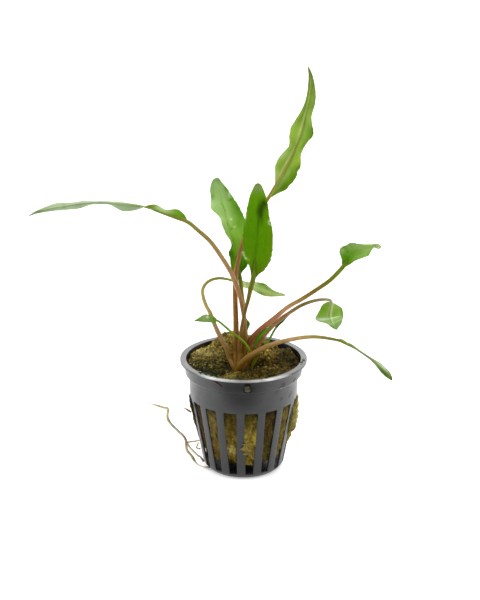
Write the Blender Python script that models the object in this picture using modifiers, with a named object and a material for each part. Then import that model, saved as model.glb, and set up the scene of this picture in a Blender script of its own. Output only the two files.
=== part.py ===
"""Potted cryptocoryne: a slotted plastic net pot with a rock-wool plug, and a small rosette plant.

The frame is in metres with +Z up. Its origin is the centre of the pot's flat underside, and -Y is
the side that the photograph shows. The sizes below are in millimetres, and MM turns them into metres.
"""

import math

import bmesh
import bpy
from mathutils import Vector, noise

MM = 0.001
GAP = 0.3  # kept between pieces that touch

# Net pot
POT_HEIGHT = 50.0
LIP_RADIUS = 27.5
LIP_THICKNESS = 1.0
LIP_EDGE = 0.35  # how far the lip's corners are rounded back
WALL = 0.8
COLLAR_TOP_RADIUS = 25.6
COLLAR_RADIUS = 25.3
COLLAR_BOTTOM = 43.3
LEDGE_LOW = 43.6  # the step inside the wall, between the band and the collar
LEDGE_HIGH = 44.4
BAND_TOP_RADIUS = 23.6
BAND_RADIUS = 23.3
CONE_TOP = 33.0
CONE_LOW = 6.5
CONE_LOW_RADIUS = 18.5
BASE_RADIUS = 15.0
BASE_CORNER = 3.0
FLOOR = 1.2
POT_STEPS = 48

# Slots in the wall of the pot
SLOT_COUNT = 16
SLOT_TURN = 8.0  # degrees from the front to the middle of the first slot
SLOT_TOP = 33.4
SLOT_BOTTOM = 2.4
SLOT_HALF_TOP = 2.85
SLOT_HALF_BOTTOM = 1.65
SLOT_ROUND = 0.6
SLOT_REACH = (13.0, 28.0)  # the radii that a slot cutter spans

# Round dimple on the front of the collar
DIMPLE_TURN = 4.4
DIMPLE_HEIGHT = 46.1
DIMPLE_RADIUS = 1.7
DIMPLE_DEPTH = 0.35
DIMPLE_REACH = 4.0  # length of the dimple's cutter

# Rock-wool plug
WOOL_STEPS = 40
WOOL_TOP = 47.0
WOOL_BOTTOM = 4.5
WOOL_FOOT_RADIUS = 10.0
WOOL_RINGS = 9
WOOL_SLACK = 0.1  # how much looser than the gap the wool sits in the wall
# Heights on the wool's side, and how far short of the wall it stays there besides the gap
WOOL_SIDE = ((20.0, 0.1), (9.5, 0.3), (6.0, 2.3))
WOOL_ROUGH = 0.55
WOOL_GRAIN = 4.5
HOLLOW_CENTRE = (-0.8, -2.8)
HOLLOW_RADIUS = 6.6
HOLLOW_BLEND = 3.6
HOLLOW_FLOOR = 45.3
# Lumps and hollows of the wool's top: x, y, radius, height
WOOL_LUMPS = (
    (-6.0, 17.5, 6.0, 5.2),
    (-15.5, 6.5, 6.5, 2.2),
    (6.5, 18.5, 4.5, 2.6),
    (-2.0, -18.5, 7.5, 1.6),
    (11.5, -14.0, 7.0, 0.9),
    (15.5, 5.0, 6.0, 0.6),
    (-14.0, -11.5, 5.0, -1.1),
    (-12.5, 19.0, 4.5, -2.2),
    (17.0, 14.5, 5.0, -2.4),
)

# Crown, where the leaf stalks grow together
CROWN_PROFILE = ((0.0, 53.6), (2.2, 53.6), (3.0, 52.6), (3.5, 50.0), (3.9, 47.6), (3.5, 45.9),
                 (2.6, 45.6), (0.0, 45.6))
CROWN_CENTRE = (-1.5, -2.1)
CROWN_LEAN = (0.05, 0.02)  # sideways shift for each millimetre above the crown's foot
CROWN_DEPTH_SHARE = 0.9
CROWN_STEPS = 20
CROWN_RIBS = 5
CROWN_RIB_SHARE = 0.06

# Stalks and blades
TUBE_STEP = 2.6  # spacing of a stalk's rings, in stalk diameters
BLADE_THICKNESS = 0.6
BLADE_COLUMNS = 4
FRONT = Vector((0.0, -0.935, 0.355))  # towards the photograph's viewpoint

# Each leaf: the stalk's route and radii, the blade's midrib, and the blade's half-widths and
# lifts at even steps from its base to its tip. Left and right are as seen in the photograph by
# someone looking along the leaf, and a lift above zero brings that margin forward.
LEAVES = {
    "tall": {
        "stalk": ((-3.2, -1.4, 54.1), (-3.2, -1.2, 62.0), (-3.3, -0.8, 68.0), (-3.5, 0.4, 74.0),
                  (-3.6, 1.5, 80.0), (-3.2, 3.0, 88.0), (-2.3, 3.7, 92.5), (-0.6, 4.8, 99.5),
                  (3.5, 6.0, 109.0), (10.2, 7.0, 118.8)),
        "radii": (1.15, 0.9, 0.8, 0.78, 0.75),
        "midrib": ((10.5, 7.0, 119.3), (16.3, 6.1, 130.6), (21.4, 3.5, 142.0),
                   (24.6, -0.2, 153.8), (26.4, -4.6, 165.6), (26.4, -7.4, 171.3),
                   (25.2, -10.0, 177.2)),
        "left": (0.5, 0.6, 3.7, 4.2, 2.8, 4.5, 3.4, 2.2, 1.3, 0.8, 0.2),
        "right": (0.7, 4.4, 5.8, 5.3, 3.7, 5.0, 3.3, 2.8, 2.4, 1.5, 0.2),
        "left_lift": (0.0, 0.3, -0.8, 0.6, 2.0, -0.6, 0.8, 0.4, 0.0, 0.0, 0.0),
        "right_lift": (0.0, -0.5, -1.0, 0.6, 2.2, -0.8, 1.6, 0.2, -0.4, 0.0, 0.0),
    },
    "back": {
        "stalk": ((0.9, 1.5, 54.1), (0.6, 2.0, 62.0), (0.2, 3.0, 69.0), (-0.2, 3.6, 73.5),
                  (-0.8, 4.3, 78.5), (-1.3, 5.0, 83.4)),
        "radii": (0.95, 0.75, 0.6),
        "midrib": ((-1.3, 5.0, 83.9), (-3.3, 6.7, 94.7), (-6.1, 9.4, 105.2),
                   (-9.1, 12.8, 115.3), (-11.4, 16.0, 125.7)),
        "left": (0.5, 2.6, 3.1, 1.0, 2.6, 3.4, 5.0, 4.0, 0.4),
        "right": (0.5, 4.0, 5.5, 6.5, 7.0, 6.6, 5.5, 3.6, 0.3),
        "left_lift": (0.0, 0.6, 1.2, 2.2, 0.6, 1.0, -0.4, 0.0, 0.0),
        "right_lift": (0.0, 0.4, 0.4, 0.2, 0.4, -0.6, 0.4, 0.0, 0.0),
    },
    "front": {
        "stalk": ((-1.7, -3.8, 54.1), (-1.3, -4.1, 60.8), (-0.9, -4.4, 64.3),
                  (-0.1, -4.5, 69.2), (1.0, -4.4, 74.1), (2.1, -4.4, 78.6), (3.0, -4.4, 83.0),
                  (3.9, -4.5, 86.6)),
        "radii": (1.0, 0.9, 0.75, 0.65),
        "midrib": ((4.0, -4.5, 87.1), (4.8, -5.0, 97.2), (5.8, -4.0, 107.3), (6.3, -1.7, 117.2),
                   (5.9, 2.0, 126.8)),
        "left": (0.6, 2.1, 4.8, 5.8, 6.0, 5.6, 4.7, 3.2, 0.3),
        "right": (0.6, 4.6, 6.6, 6.8, 6.2, 5.2, 4.0, 2.9, 0.3),
        "left_lift": (0.0, 0.8, 0.9, 0.4, 0.3, 0.2, 0.2, 0.1, 0.0),
        "right_lift": (0.0, 0.6, 0.6, 0.3, 0.2, 0.4, 0.2, 0.1, 0.0),
    },
    "long": {
        "stalk": ((0.4, -1.5, 54.1), (0.4, -1.2, 63.0), (0.2, -1.2, 69.3), (-0.8, -2.0, 75.5),
                  (-1.9, -2.4, 80.1), (-3.4, -2.8, 84.7), (-5.4, -3.6, 89.9),
                  (-8.9, -5.0, 96.4), (-13.6, -7.2, 104.1), (-18.4, -9.0, 109.3),
                  (-22.8, -10.9, 113.7)),
        "radii": (0.95, 0.87, 0.8, 0.76, 0.65),
        "midrib": ((-23.2, -11.0, 114.0), (-32.2, -13.6, 117.8), (-41.4, -16.2, 121.6),
                   (-51.0, -18.8, 123.6), (-60.7, -21.6, 124.7), (-70.6, -24.1, 124.2),
                   (-79.5, -26.4, 123.0), (-85.0, -28.0, 121.0)),
        "left": (0.5, 0.7, 0.5, 0.5, 0.9, 2.5, 1.8, 0.6, 0.5, 1.4, 1.5, 1.0, 0.5, 0.1),
        "right": (0.6, 3.2, 1.9, 2.6, 0.8, 0.8, 0.8, 0.6, 0.6, 1.1, 1.2, 1.4, 0.5, 0.1),
        "left_lift": (0.0, 1.0, 1.6, 1.2, -0.6, -2.6, -3.0, -3.0, -3.0, -3.0, -2.6, -2.0, -1.0, 0.0),
        "right_lift": (0.0, -2.2, -2.6, -1.4, 0.6, 2.6, 3.2, 3.2, 3.2, 3.0, 3.0, 2.4, 1.2, 0.0),
    },
    "looped": {
        "stalk": ((-6.1, -2.5, 50.9), (-7.3, -2.8, 54.9), (-9.4, -3.0, 59.5),
                  (-11.8, -2.8, 64.7), (-14.1, -2.4, 70.9), (-16.0, -2.0, 74.6),
                  (-17.2, -1.0, 78.3), (-17.4, 0.0, 80.7), (-16.2, 1.5, 82.8),
                  (-13.9, 3.5, 84.0), (-11.0, 5.5, 84.1), (-8.8, 6.9, 83.6)),
        "radii": (0.9, 0.7, 0.65, 0.6, 0.45),
        "midrib": ((-8.4, 7.1, 83.5), (-0.2, 9.5, 80.5), (9.1, 10.4, 77.3), (18.2, 11.0, 74.8)),
        "left": (0.4, 0.7, 1.2, 2.1, 2.3, 1.2, 0.2),
        "right": (0.4, 0.9, 1.6, 2.0, 2.6, 1.8, 0.2),
        "left_lift": (0.0, 0.6, 1.2, 1.4, 1.2, 0.6, 0.0),
        "right_lift": (0.0, -0.6, -1.2, -1.4, -1.2, -0.6, 0.0),
    },
    "small": {
        "stalk": ((2.2, -5.2, 53.8), (2.6, -6.0, 55.3), (1.0, -6.5, 58.4), (-1.3, -7.5, 61.3),
                  (-4.9, -8.0, 64.4), (-9.0, -8.0, 68.2), (-10.6, -8.0, 69.5)),
        "radii": (0.35, 0.32, 0.3),
        "midrib": ((-11.0, -8.0, 69.8), (-14.9, -8.7, 70.4), (-20.9, -9.5, 70.1)),
        "left": (0.3, 0.9, 1.1, 1.0, 0.5, 0.1),
        "right": (0.3, 1.6, 2.2, 1.9, 0.9, 0.1),
        "left_lift": (0.0, -0.3, -0.5, -0.5, -0.2, 0.0),
        "right_lift": (0.0, -0.3, -0.6, -0.6, -0.2, 0.0),
    },
    "upper": {
        "stalk": ((2.5, -0.9, 54.8), (3.0, -0.5, 57.7), (7.1, 0.0, 62.5), (13.0, 0.5, 67.5),
                  (19.0, 1.5, 72.5), (25.0, 2.5, 75.8), (31.1, 3.5, 79.6), (37.2, 5.0, 83.6),
                  (42.3, 6.0, 88.9)),
        "radii": (1.15, 1.2, 0.95, 0.76, 0.65),
        "midrib": ((42.7, 6.0, 89.4), (45.5, 6.5, 94.1), (50.5, 7.0, 96.3), (55.9, 7.9, 97.6),
                   (58.6, 8.0, 97.3)),
        "left": (0.6, 3.5, 5.2, 4.6, 2.8, 1.8, 1.0, 0.3),
        "right": (0.7, 2.9, 3.2, 3.3, 2.9, 2.4, 0.5, 0.2),
        "left_lift": (0.0, 0.8, 1.6, 2.0, 1.6, 1.0, 0.4, 0.0),
        "right_lift": (0.0, 0.6, 0.8, 0.8, 0.4, 0.2, 0.0, 0.0),
    },
    "hanging": {
        "stalk": ((4.5, 0.9, 53.2), (7.1, 1.6, 58.3), (10.8, 2.6, 62.9), (15.6, 3.0, 67.1),
                  (20.4, 3.0, 70.6), (25.0, 3.0, 73.5), (29.9, 3.0, 75.0), (34.4, 3.0, 75.4),
                  (37.2, 3.0, 74.9)),
        "radii": (0.95, 0.95, 0.8, 0.65, 0.55),
        "midrib": ((38.2, 2.8, 73.9), (37.5, 2.1, 70.8), (37.3, 2.4, 67.3), (38.3, 3.3, 64.6),
                   (40.2, 4.5, 61.0)),
        "left": (1.0, 4.6, 5.6, 5.8, 4.8, 3.4, 0.6),
        "right": (1.0, 4.1, 5.2, 4.9, 2.4, 1.0, 0.3),
        "left_lift": (0.0, -0.8, -1.2, -1.0, -0.6, -0.3, 0.0),
        "right_lift": (0.0, -0.8, -1.4, -1.2, -0.6, -0.3, 0.0),
    },
    "low": {
        "stalk": ((-2.8, -7.5, 47.2), (0.2, -8.1, 51.9), (5.7, -7.5, 55.8), (12.7, -6.0, 58.4),
                  (19.6, -5.0, 60.0), (26.6, -4.0, 60.8), (32.6, -3.5, 60.6), (40.0, -3.0, 59.1)),
        "radii": (0.9, 0.73, 0.56, 0.52, 0.45),
        "midrib": ((40.4, -3.0, 59.0), (47.1, -3.4, 56.0), (53.2, -4.3, 51.9),
                   (58.8, -5.1, 47.1), (63.8, -6.0, 41.7)),
        "left": (0.4, 0.6, 0.5, 0.4, 0.6, 1.1, 1.6, 1.5, 0.2),
        "right": (0.4, 0.4, 0.4, 0.4, 0.6, 0.8, 1.0, 0.9, 0.2),
        "left_lift": (0.0, -1.4, -2.2, -2.6, -2.6, -2.4, -2.0, -1.2, 0.0),
        "right_lift": (0.0, 1.0, 1.8, 2.4, 2.6, 2.4, 2.0, 1.2, 0.0),
    },
    "young": {
        "stalk": ((3.9, -3.8, 46.4), (4.1, -4.1, 50.7), (4.4, -4.2, 54.5), (4.7, -4.0, 56.5)),
        "radii": (1.0, 0.8, 0.45),
        "midrib": ((4.7, -4.0, 56.9), (7.3, -3.7, 60.8), (12.5, -2.5, 65.3)),
        "left": (0.5, 1.1, 1.2, 1.0, 0.7, 0.1),
        "right": (0.5, 1.1, 0.7, 0.6, 0.4, 0.1),
        "left_lift": (0.0, 0.2, 0.3, 0.3, 0.1, 0.0),
        "right_lift": (0.0, 0.2, 0.3, 0.3, 0.1, 0.0),
    },
    "thin": {
        "stalk": ((5.0, -0.9, 46.6), (6.3, 0.0, 50.1), (8.9, 1.5, 54.1), (11.5, 3.0, 57.9),
                  (13.4, 4.4, 61.0)),
        "radii": (0.4, 0.35, 0.3),
        "midrib": ((13.6, 4.5, 61.4), (16.6, 5.2, 64.9), (20.1, 6.0, 67.9)),
        "left": (0.4, 1.0, 0.8, 0.5, 0.1),
        "right": (0.4, 0.6, 0.6, 0.5, 0.1),
        "left_lift": (0.0, 0.2, 0.2, 0.1, 0.0),
        "right_lift": (0.0, 0.2, 0.2, 0.1, 0.0),
    },
    "tiny": {
        "stalk": ((-0.8, 2.4, 50.4), (-0.3, 3.5, 53.5), (0.2, 4.6, 57.0), (0.4, 5.0, 59.8)),
        "radii": (0.4, 0.35, 0.3),
        "midrib": ((0.4, 5.0, 60.2), (0.8, 5.3, 63.1), (0.6, 5.6, 66.2)),
        "left": (0.3, 0.9, 1.2, 0.9, 0.1),
        "right": (0.3, 0.9, 1.6, 1.3, 0.1),
        "left_lift": (0.0, 0.2, 0.2, 0.1, 0.0),
        "right_lift": (0.0, 0.2, 0.2, 0.1, 0.0),
    },
}

# Roots that grow out of the pot's left side: route, and radii along it
ROOTS = {
    "root_main": (
        ((-17.9, 5.5, 2.9), (-19.2, 5.2, 1.5), (-21.2, 3.2, 2.6), (-23.1, 0.5, 5.8),
         (-24.5, -1.5, 8.9), (-24.9, -3.0, 12.9), (-27.4, -4.0, 15.8), (-30.8, -4.5, 19.7),
         (-32.9, -5.0, 23.5), (-33.2, -5.2, 27.2), (-36.0, -5.5, 29.2), (-40.6, -6.0, 30.9),
         (-42.5, -6.0, 30.4)),
        (0.25, 0.35, 0.5, 0.45, 0.35, 0.3),
    ),
    "root_low": (((-23.0, -1.6, 8.6), (-21.6, 0.2, 6.6), (-19.4, 2.4, 4.9), (-17.9, 3.7, 4.2)),
                  (0.3, 0.28, 0.25)),
    "root_level": (((-23.9, -3.2, 12.2), (-21.9, -3.2, 11.8), (-19.0, -2.6, 11.6)), (0.3, 0.25)),
    "root_kinked": (((-19.0, -2.5, 10.2), (-20.5, -3.0, 8.7), (-18.6, -2.6, 7.7)),
                     (0.22, 0.25, 0.2)),
    "root_stub": (((-25.9, -3.0, 27.5), (-24.2, -2.7, 26.2), (-22.2, -2.7, 24.8)), (0.25, 0.35)),
}


def clear_scene():
    for obj in list(bpy.context.scene.objects):
        bpy.data.objects.remove(obj, do_unlink=True)


def new_collection(name):
    made = bpy.data.collections.new(name)
    bpy.context.scene.collection.children.link(made)
    return made


def new_material(name, colour, roughness):
    made = bpy.data.materials.new(name)
    made.use_nodes = True
    shader = made.node_tree.nodes["Principled BSDF"]
    shader.inputs["Base Color"].default_value = (*colour, 1.0)
    shader.inputs["Roughness"].default_value = roughness
    shader.inputs["Metallic"].default_value = 0.0
    made.diffuse_color = (*colour, 1.0)
    return made


def add_object(name, mesh, collection, material=None):
    obj = bpy.data.objects.new(name, mesh)
    collection.objects.link(obj)
    if material is not None:
        mesh.materials.append(material)
    return obj


def mesh_from(bm, name):
    mesh = bpy.data.meshes.new(name)
    bm.to_mesh(mesh)
    bm.free()
    return mesh


def smooth_round(mesh, angle=35.0):
    mesh.shade_smooth()
    mesh.set_sharp_from_angle(angle=math.radians(angle))


def between(values, share):
    """Smooth value of a list of numbers or vectors at a share of its length, from 0 to 1."""
    place = min(max(share, 0.0), 1.0) * (len(values) - 1)
    index = min(int(place), len(values) - 2)
    t = place - index
    before = values[max(index - 1, 0)]
    start = values[index]
    end = values[index + 1]
    after = values[min(index + 2, len(values) - 1)]
    rise = (end - before) * 0.5
    fall = (after - start) * 0.5
    square = t * t
    cube = square * t
    near = start * (2 * cube - 3 * square + 1) + rise * (cube - 2 * square + t)
    far = end * (3 * square - 2 * cube) + fall * (cube - square)
    return near + far


def even_route(points, count):
    """Points at even distances along a smooth curve through the given points."""
    corners = [Vector(p) for p in points]
    fine = [between(corners, i / 400) for i in range(401)]
    lengths = [0.0]
    for a, b in zip(fine, fine[1:]):
        lengths.append(lengths[-1] + (b - a).length)
    route = []
    index = 0
    for step in range(count):
        wanted = lengths[-1] * step / (count - 1)
        while index < len(fine) - 2 and lengths[index + 1] < wanted:
            index += 1
        span = max(lengths[index + 1] - lengths[index], 1e-9)
        route.append(fine[index].lerp(fine[index + 1], (wanted - lengths[index]) / span))
    return route


def route_length(points):
    fine = even_route(points, 60)
    return sum((b - a).length for a, b in zip(fine, fine[1:]))


def add_turned(name, profile, steps, collection, material):
    """A profile of radius and height, top to bottom down its outer side, turned about the Z axis."""
    mesh = bpy.data.meshes.new(name)
    points = [(radius * MM, 0.0, height * MM) for radius, height in profile]
    mesh.from_pydata(points, [(i, i + 1) for i in range(len(points) - 1)], [])
    obj = add_object(name, mesh, collection, material)
    screw = obj.modifiers.new("turn", "SCREW")
    screw.axis = "Z"
    screw.steps = steps
    screw.render_steps = steps
    screw.use_merge_vertices = True
    screw.merge_threshold = 0.00001
    screw.use_smooth_shade = True
    return obj


def freeze(obj):
    """Turn what an object's modifiers or curve make into its own plain mesh, in place."""
    graph = bpy.context.evaluated_depsgraph_get()
    mesh = bpy.data.meshes.new_from_object(obj.evaluated_get(graph), depsgraph=graph)
    obj.modifiers.clear()
    obj.data = mesh
    return obj


def cone_radius(height):
    slope = (BAND_RADIUS - CONE_LOW_RADIUS) / (CONE_TOP - CONE_LOW)
    return CONE_LOW_RADIUS + slope * (height - CONE_LOW)


def pot_profile():
    lean = math.atan((BAND_RADIUS - CONE_LOW_RADIUS) / (CONE_TOP - CONE_LOW))
    top = POT_HEIGHT
    low = POT_HEIGHT - LIP_THICKNESS
    inner_corner = BASE_CORNER - WALL
    turns = [math.radians(90.0) * i / 3 for i in range(4)]
    inside = [(0.0, FLOOR), (BASE_RADIUS - 1.0, FLOOR)]
    inside.append((cone_radius(FLOOR + inner_corner) - WALL, FLOOR + inner_corner))
    inside.append((BAND_RADIUS - WALL, CONE_TOP))
    inside.append((BAND_TOP_RADIUS - WALL, LEDGE_LOW))
    inside.append((COLLAR_RADIUS - WALL, LEDGE_HIGH))
    inside.append((COLLAR_TOP_RADIUS - WALL, top - LIP_EDGE))
    inside.append((COLLAR_TOP_RADIUS - WALL + LIP_EDGE, top))
    lip = []
    for t in turns:
        lip.append((LIP_RADIUS - LIP_EDGE * (1 - math.sin(t)), top - LIP_EDGE * (1 - math.cos(t))))
    lip.append((LIP_RADIUS - LIP_EDGE, low))
    outside = [(COLLAR_TOP_RADIUS, low)]
    outside.append((COLLAR_RADIUS, COLLAR_BOTTOM + LIP_EDGE))
    outside.append((COLLAR_RADIUS - LIP_EDGE, COLLAR_BOTTOM))
    outside.append((BAND_TOP_RADIUS, COLLAR_BOTTOM - LIP_EDGE))
    outside.append((BAND_RADIUS, CONE_TOP))
    corner = []
    for i in range(5):
        t = lean + (math.radians(90.0) - lean) * i / 4
        corner.append((BASE_RADIUS + BASE_CORNER * math.cos(t), BASE_CORNER * (1 - math.sin(t))))
    return inside + lip + outside + corner + [(0.0, 0.0)]


def turned_about_z(bm, degrees):
    """Turn what a bmesh holds from the +X side to an angle from the front, measured to the right."""
    angle = math.radians(degrees - 90.0)
    sine = math.sin(angle)
    cosine = math.cos(angle)
    for vert in bm.verts:
        x, y, z = vert.co
        vert.co = (x * cosine - y * sine, x * sine + y * cosine, z)


def slot_outline():
    """Outline of a slot across the wall: side position and height, with round upper corners."""
    points = [(SLOT_HALF_BOTTOM, SLOT_BOTTOM)]
    for i in range(4):
        t = math.radians(90.0) * i / 3
        side = SLOT_HALF_TOP - SLOT_ROUND * (1 - math.cos(t))
        points.append((side, SLOT_TOP - SLOT_ROUND * (1 - math.sin(t))))
    return points + [(-side, height) for side, height in reversed(points)]


def add_slot_cutters(collection):
    whole = bpy.data.meshes.new("slot_cutters")
    bm = bmesh.new()
    for index in range(SLOT_COUNT):
        part = bmesh.new()
        near, far = SLOT_REACH
        verts = [part.verts.new((near * MM, side * MM, height * MM)) for side, height in slot_outline()]
        face = part.faces.new(verts)
        grown = bmesh.ops.extrude_face_region(part, geom=[face])
        moved = [v for v in grown["geom"] if isinstance(v, bmesh.types.BMVert)]
        bmesh.ops.translate(part, verts=moved, vec=((far - near) * MM, 0.0, 0.0))
        bmesh.ops.recalc_face_normals(part, faces=part.faces)
        turned_about_z(part, SLOT_TURN + index * 360.0 / SLOT_COUNT)
        piece = mesh_from(part, "slot")
        bm.from_mesh(piece)
        bpy.data.meshes.remove(piece)
    bm.to_mesh(whole)
    bm.free()
    return add_object("slot_cutters", whole, collection)


def add_dimple_cutter(collection):
    bm = bmesh.new()
    radius = DIMPLE_RADIUS * MM
    depth = DIMPLE_REACH * MM
    bmesh.ops.create_cone(
        bm, cap_ends=True, segments=16, radius1=radius, radius2=radius, depth=depth
    )
    middle = COLLAR_RADIUS - DIMPLE_DEPTH + DIMPLE_REACH / 2
    for vert in bm.verts:
        x, y, z = vert.co
        vert.co = (z + middle * MM, x, y + DIMPLE_HEIGHT * MM)
    turned_about_z(bm, DIMPLE_TURN)
    bmesh.ops.recalc_face_normals(bm, faces=bm.faces)
    return add_object("dimple_cutter", mesh_from(bm, "dimple_cutter"), collection)


def add_cut(obj, cutter):
    cutter.hide_render = True
    cutter.display_type = "WIRE"
    cut = obj.modifiers.new(cutter.name, "BOOLEAN")
    cut.operation = "DIFFERENCE"
    cut.solver = "EXACT"
    cut.object = cutter


def add_pot(parts, cutters):
    plastic = new_material("grey_plastic", (0.085, 0.09, 0.095), 0.45)
    pot = add_turned("pot", pot_profile(), POT_STEPS, parts, plastic)
    add_cut(pot, add_slot_cutters(cutters))
    add_cut(pot, add_dimple_cutter(cutters))
    return pot


def wool_height(x, y):
    """Height of the wool's top at a place, with its lumps, grain and the hollow round the crown."""
    height = WOOL_TOP
    for lump_x, lump_y, radius, rise in WOOL_LUMPS:
        distance = math.hypot(x - lump_x, y - lump_y) / radius
        height += rise * math.exp(-distance * distance)
    height += WOOL_ROUGH * noise.noise(Vector((x / WOOL_GRAIN, y / WOOL_GRAIN, 0.0))) * 2.0
    away = math.hypot(x - HOLLOW_CENTRE[0], y - HOLLOW_CENTRE[1]) - HOLLOW_RADIUS
    blend = min(max(away / HOLLOW_BLEND, 0.0), 1.0)
    blend = blend * blend * (3 - 2 * blend)
    return HOLLOW_FLOOR + (height - HOLLOW_FLOOR) * blend


def add_wool(parts):
    wool = new_material("rock_wool", (0.16, 0.12, 0.035), 0.95)
    top_radius = COLLAR_RADIUS - WALL - GAP
    profile = [(top_radius * i / WOOL_RINGS, WOOL_TOP) for i in range(WOOL_RINGS + 1)]
    profile.append((top_radius, LEDGE_HIGH + GAP * 2))
    profile.append((BAND_TOP_RADIUS - WALL - GAP - WOOL_SLACK, LEDGE_LOW + GAP))
    profile.append((BAND_RADIUS - WALL - GAP - WOOL_SLACK, CONE_TOP))
    for height, short in WOOL_SIDE:
        profile.append((cone_radius(height) - WALL - GAP - short, height))
    profile.append((WOOL_FOOT_RADIUS, WOOL_BOTTOM))
    profile.append((0.0, WOOL_BOTTOM))
    plug = freeze(add_turned("wool_plug", profile, WOOL_STEPS, parts, wool))
    for vert in plug.data.vertices:
        if vert.co.z > (WOOL_TOP - 0.01) * MM:
            vert.co.z = wool_height(vert.co.x / MM, vert.co.y / MM) * MM
    smooth_round(plug.data, 50.0)
    return plug


def add_crown(parts):
    base = new_material("crown", (0.16, 0.085, 0.02), 0.5)
    crown = freeze(add_turned("crown", CROWN_PROFILE, CROWN_STEPS, parts, base))
    foot = CROWN_PROFILE[-1][1]
    for vert in crown.data.vertices:
        x, y, z = vert.co / MM
        ribs = 1.0 + CROWN_RIB_SHARE * math.cos(CROWN_RIBS * math.atan2(y, x))
        above = z - foot
        across = x * ribs + CROWN_CENTRE[0] + CROWN_LEAN[0] * above
        along = y * ribs * CROWN_DEPTH_SHARE + CROWN_CENTRE[1] + CROWN_LEAN[1] * above
        vert.co = Vector((across, along, z)) * MM
    return crown


def add_tube(name, points, radii, collection, material):
    """A round stalk or root along a smooth route, with a radius that changes along it."""
    widest = max(radii)
    count = max(5, round(route_length(points) / (widest * 2 * TUBE_STEP)) + 1)
    route = even_route(points, count)
    curve = bpy.data.curves.new(name, "CURVE")
    curve.dimensions = "3D"
    curve.bevel_depth = widest * MM
    curve.bevel_resolution = 2
    curve.use_fill_caps = True
    spline = curve.splines.new("POLY")
    spline.points.add(count - 1)
    for index, place in enumerate(route):
        spline.points[index].co = (*(place * MM), 1.0)
        spline.points[index].radius = between(radii, index / (count - 1)) / widest
    curve.materials.append(material)
    obj = bpy.data.objects.new(name, curve)
    collection.objects.link(obj)
    return obj


def blade_point(leaf, route, along, across):
    """Place on a blade: along is 0 at its base and 1 at its tip, across -1 at left and 1 at right."""
    middle = between(route, along)
    before = between(route, along - 0.5 / len(route))
    after = between(route, along + 0.5 / len(route))
    tangent = (after - before).normalized()
    left = FRONT.cross(tangent).normalized()
    forward = tangent.cross(left).normalized()
    side = "left" if across < 0 else "right"
    width = between(leaf[side], along)
    lift = between(leaf[side + "_lift"], along)
    return middle - left * width * across + forward * lift * across * across


def add_blade(name, leaf, collection, material):
    rows = max(6, len(leaf["left"]) + 2)
    route = even_route(leaf["midrib"], 12)
    bm = bmesh.new()
    bmesh.ops.create_grid(bm, x_segments=BLADE_COLUMNS, y_segments=rows, size=1.0)
    for vert in bm.verts:
        vert.co = blade_point(leaf, route, (vert.co.y + 1.0) / 2, vert.co.x) * MM
    mesh = mesh_from(bm, name)
    mesh.shade_smooth()
    blade = add_object(name, mesh, collection, material)
    thick = blade.modifiers.new("thickness", "SOLIDIFY")
    thick.thickness = BLADE_THICKNESS * MM
    thick.offset = 0.0
    thick.use_even_offset = False
    return blade


def add_leaves(parts):
    stalk_red = new_material("red_brown_stalk", (0.22, 0.09, 0.04), 0.35)
    green = new_material("leaf_green", (0.12, 0.27, 0.03), 0.35)
    for name, leaf in LEAVES.items():
        add_tube(name + "_stalk", leaf["stalk"], leaf["radii"], parts, stalk_red)
        add_blade(name + "_blade", leaf, parts, green)


def add_roots(parts):
    pale = new_material("pale_root", (0.5, 0.45, 0.33), 0.5)
    for name, (points, radii) in ROOTS.items():
        add_tube(name, points, radii, parts, pale)


def main():
    clear_scene()
    parts = new_collection("potted_cryptocoryne")
    cutters = new_collection("cutters")
    add_pot(parts, cutters)
    add_wool(parts)
    add_crown(parts)
    add_leaves(parts)
    add_roots(parts)


main()
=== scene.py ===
"""Looks of a potted cryptocoryne: a slotted net pot, its rock-wool plug, and the small plant in it.

Sizes in the tables are in millimetres, and MM turns them into metres. -Y is the front of the plant.
"""

import math
import random

import bmesh
import bpy
from bpy.props import FloatProperty, FloatVectorProperty, IntProperty, PointerProperty
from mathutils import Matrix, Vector, noise


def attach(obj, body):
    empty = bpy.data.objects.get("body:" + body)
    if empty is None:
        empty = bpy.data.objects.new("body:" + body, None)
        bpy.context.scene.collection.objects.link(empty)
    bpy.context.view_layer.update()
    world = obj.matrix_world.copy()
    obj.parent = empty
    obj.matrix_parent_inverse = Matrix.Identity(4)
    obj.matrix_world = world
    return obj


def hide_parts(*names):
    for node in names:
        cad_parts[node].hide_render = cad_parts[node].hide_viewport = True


bl_info = {
    "name": "Potted Cryptocoryne",
    "version": (1, 0, 0),
    "blender": (4, 5, 0),
    "location": "3D View > Sidebar > Cryptocoryne",
    "description": "Builds a net pot, its rock wool and a small cryptocoryne over their CAD frame",
    "category": "Add Mesh",
}

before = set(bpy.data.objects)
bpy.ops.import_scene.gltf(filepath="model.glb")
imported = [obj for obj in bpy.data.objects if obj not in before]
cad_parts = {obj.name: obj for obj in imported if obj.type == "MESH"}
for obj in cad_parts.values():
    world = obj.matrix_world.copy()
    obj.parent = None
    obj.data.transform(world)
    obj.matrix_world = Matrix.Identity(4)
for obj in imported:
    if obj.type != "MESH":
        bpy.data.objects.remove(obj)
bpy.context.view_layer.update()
MM = 0.001

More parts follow.
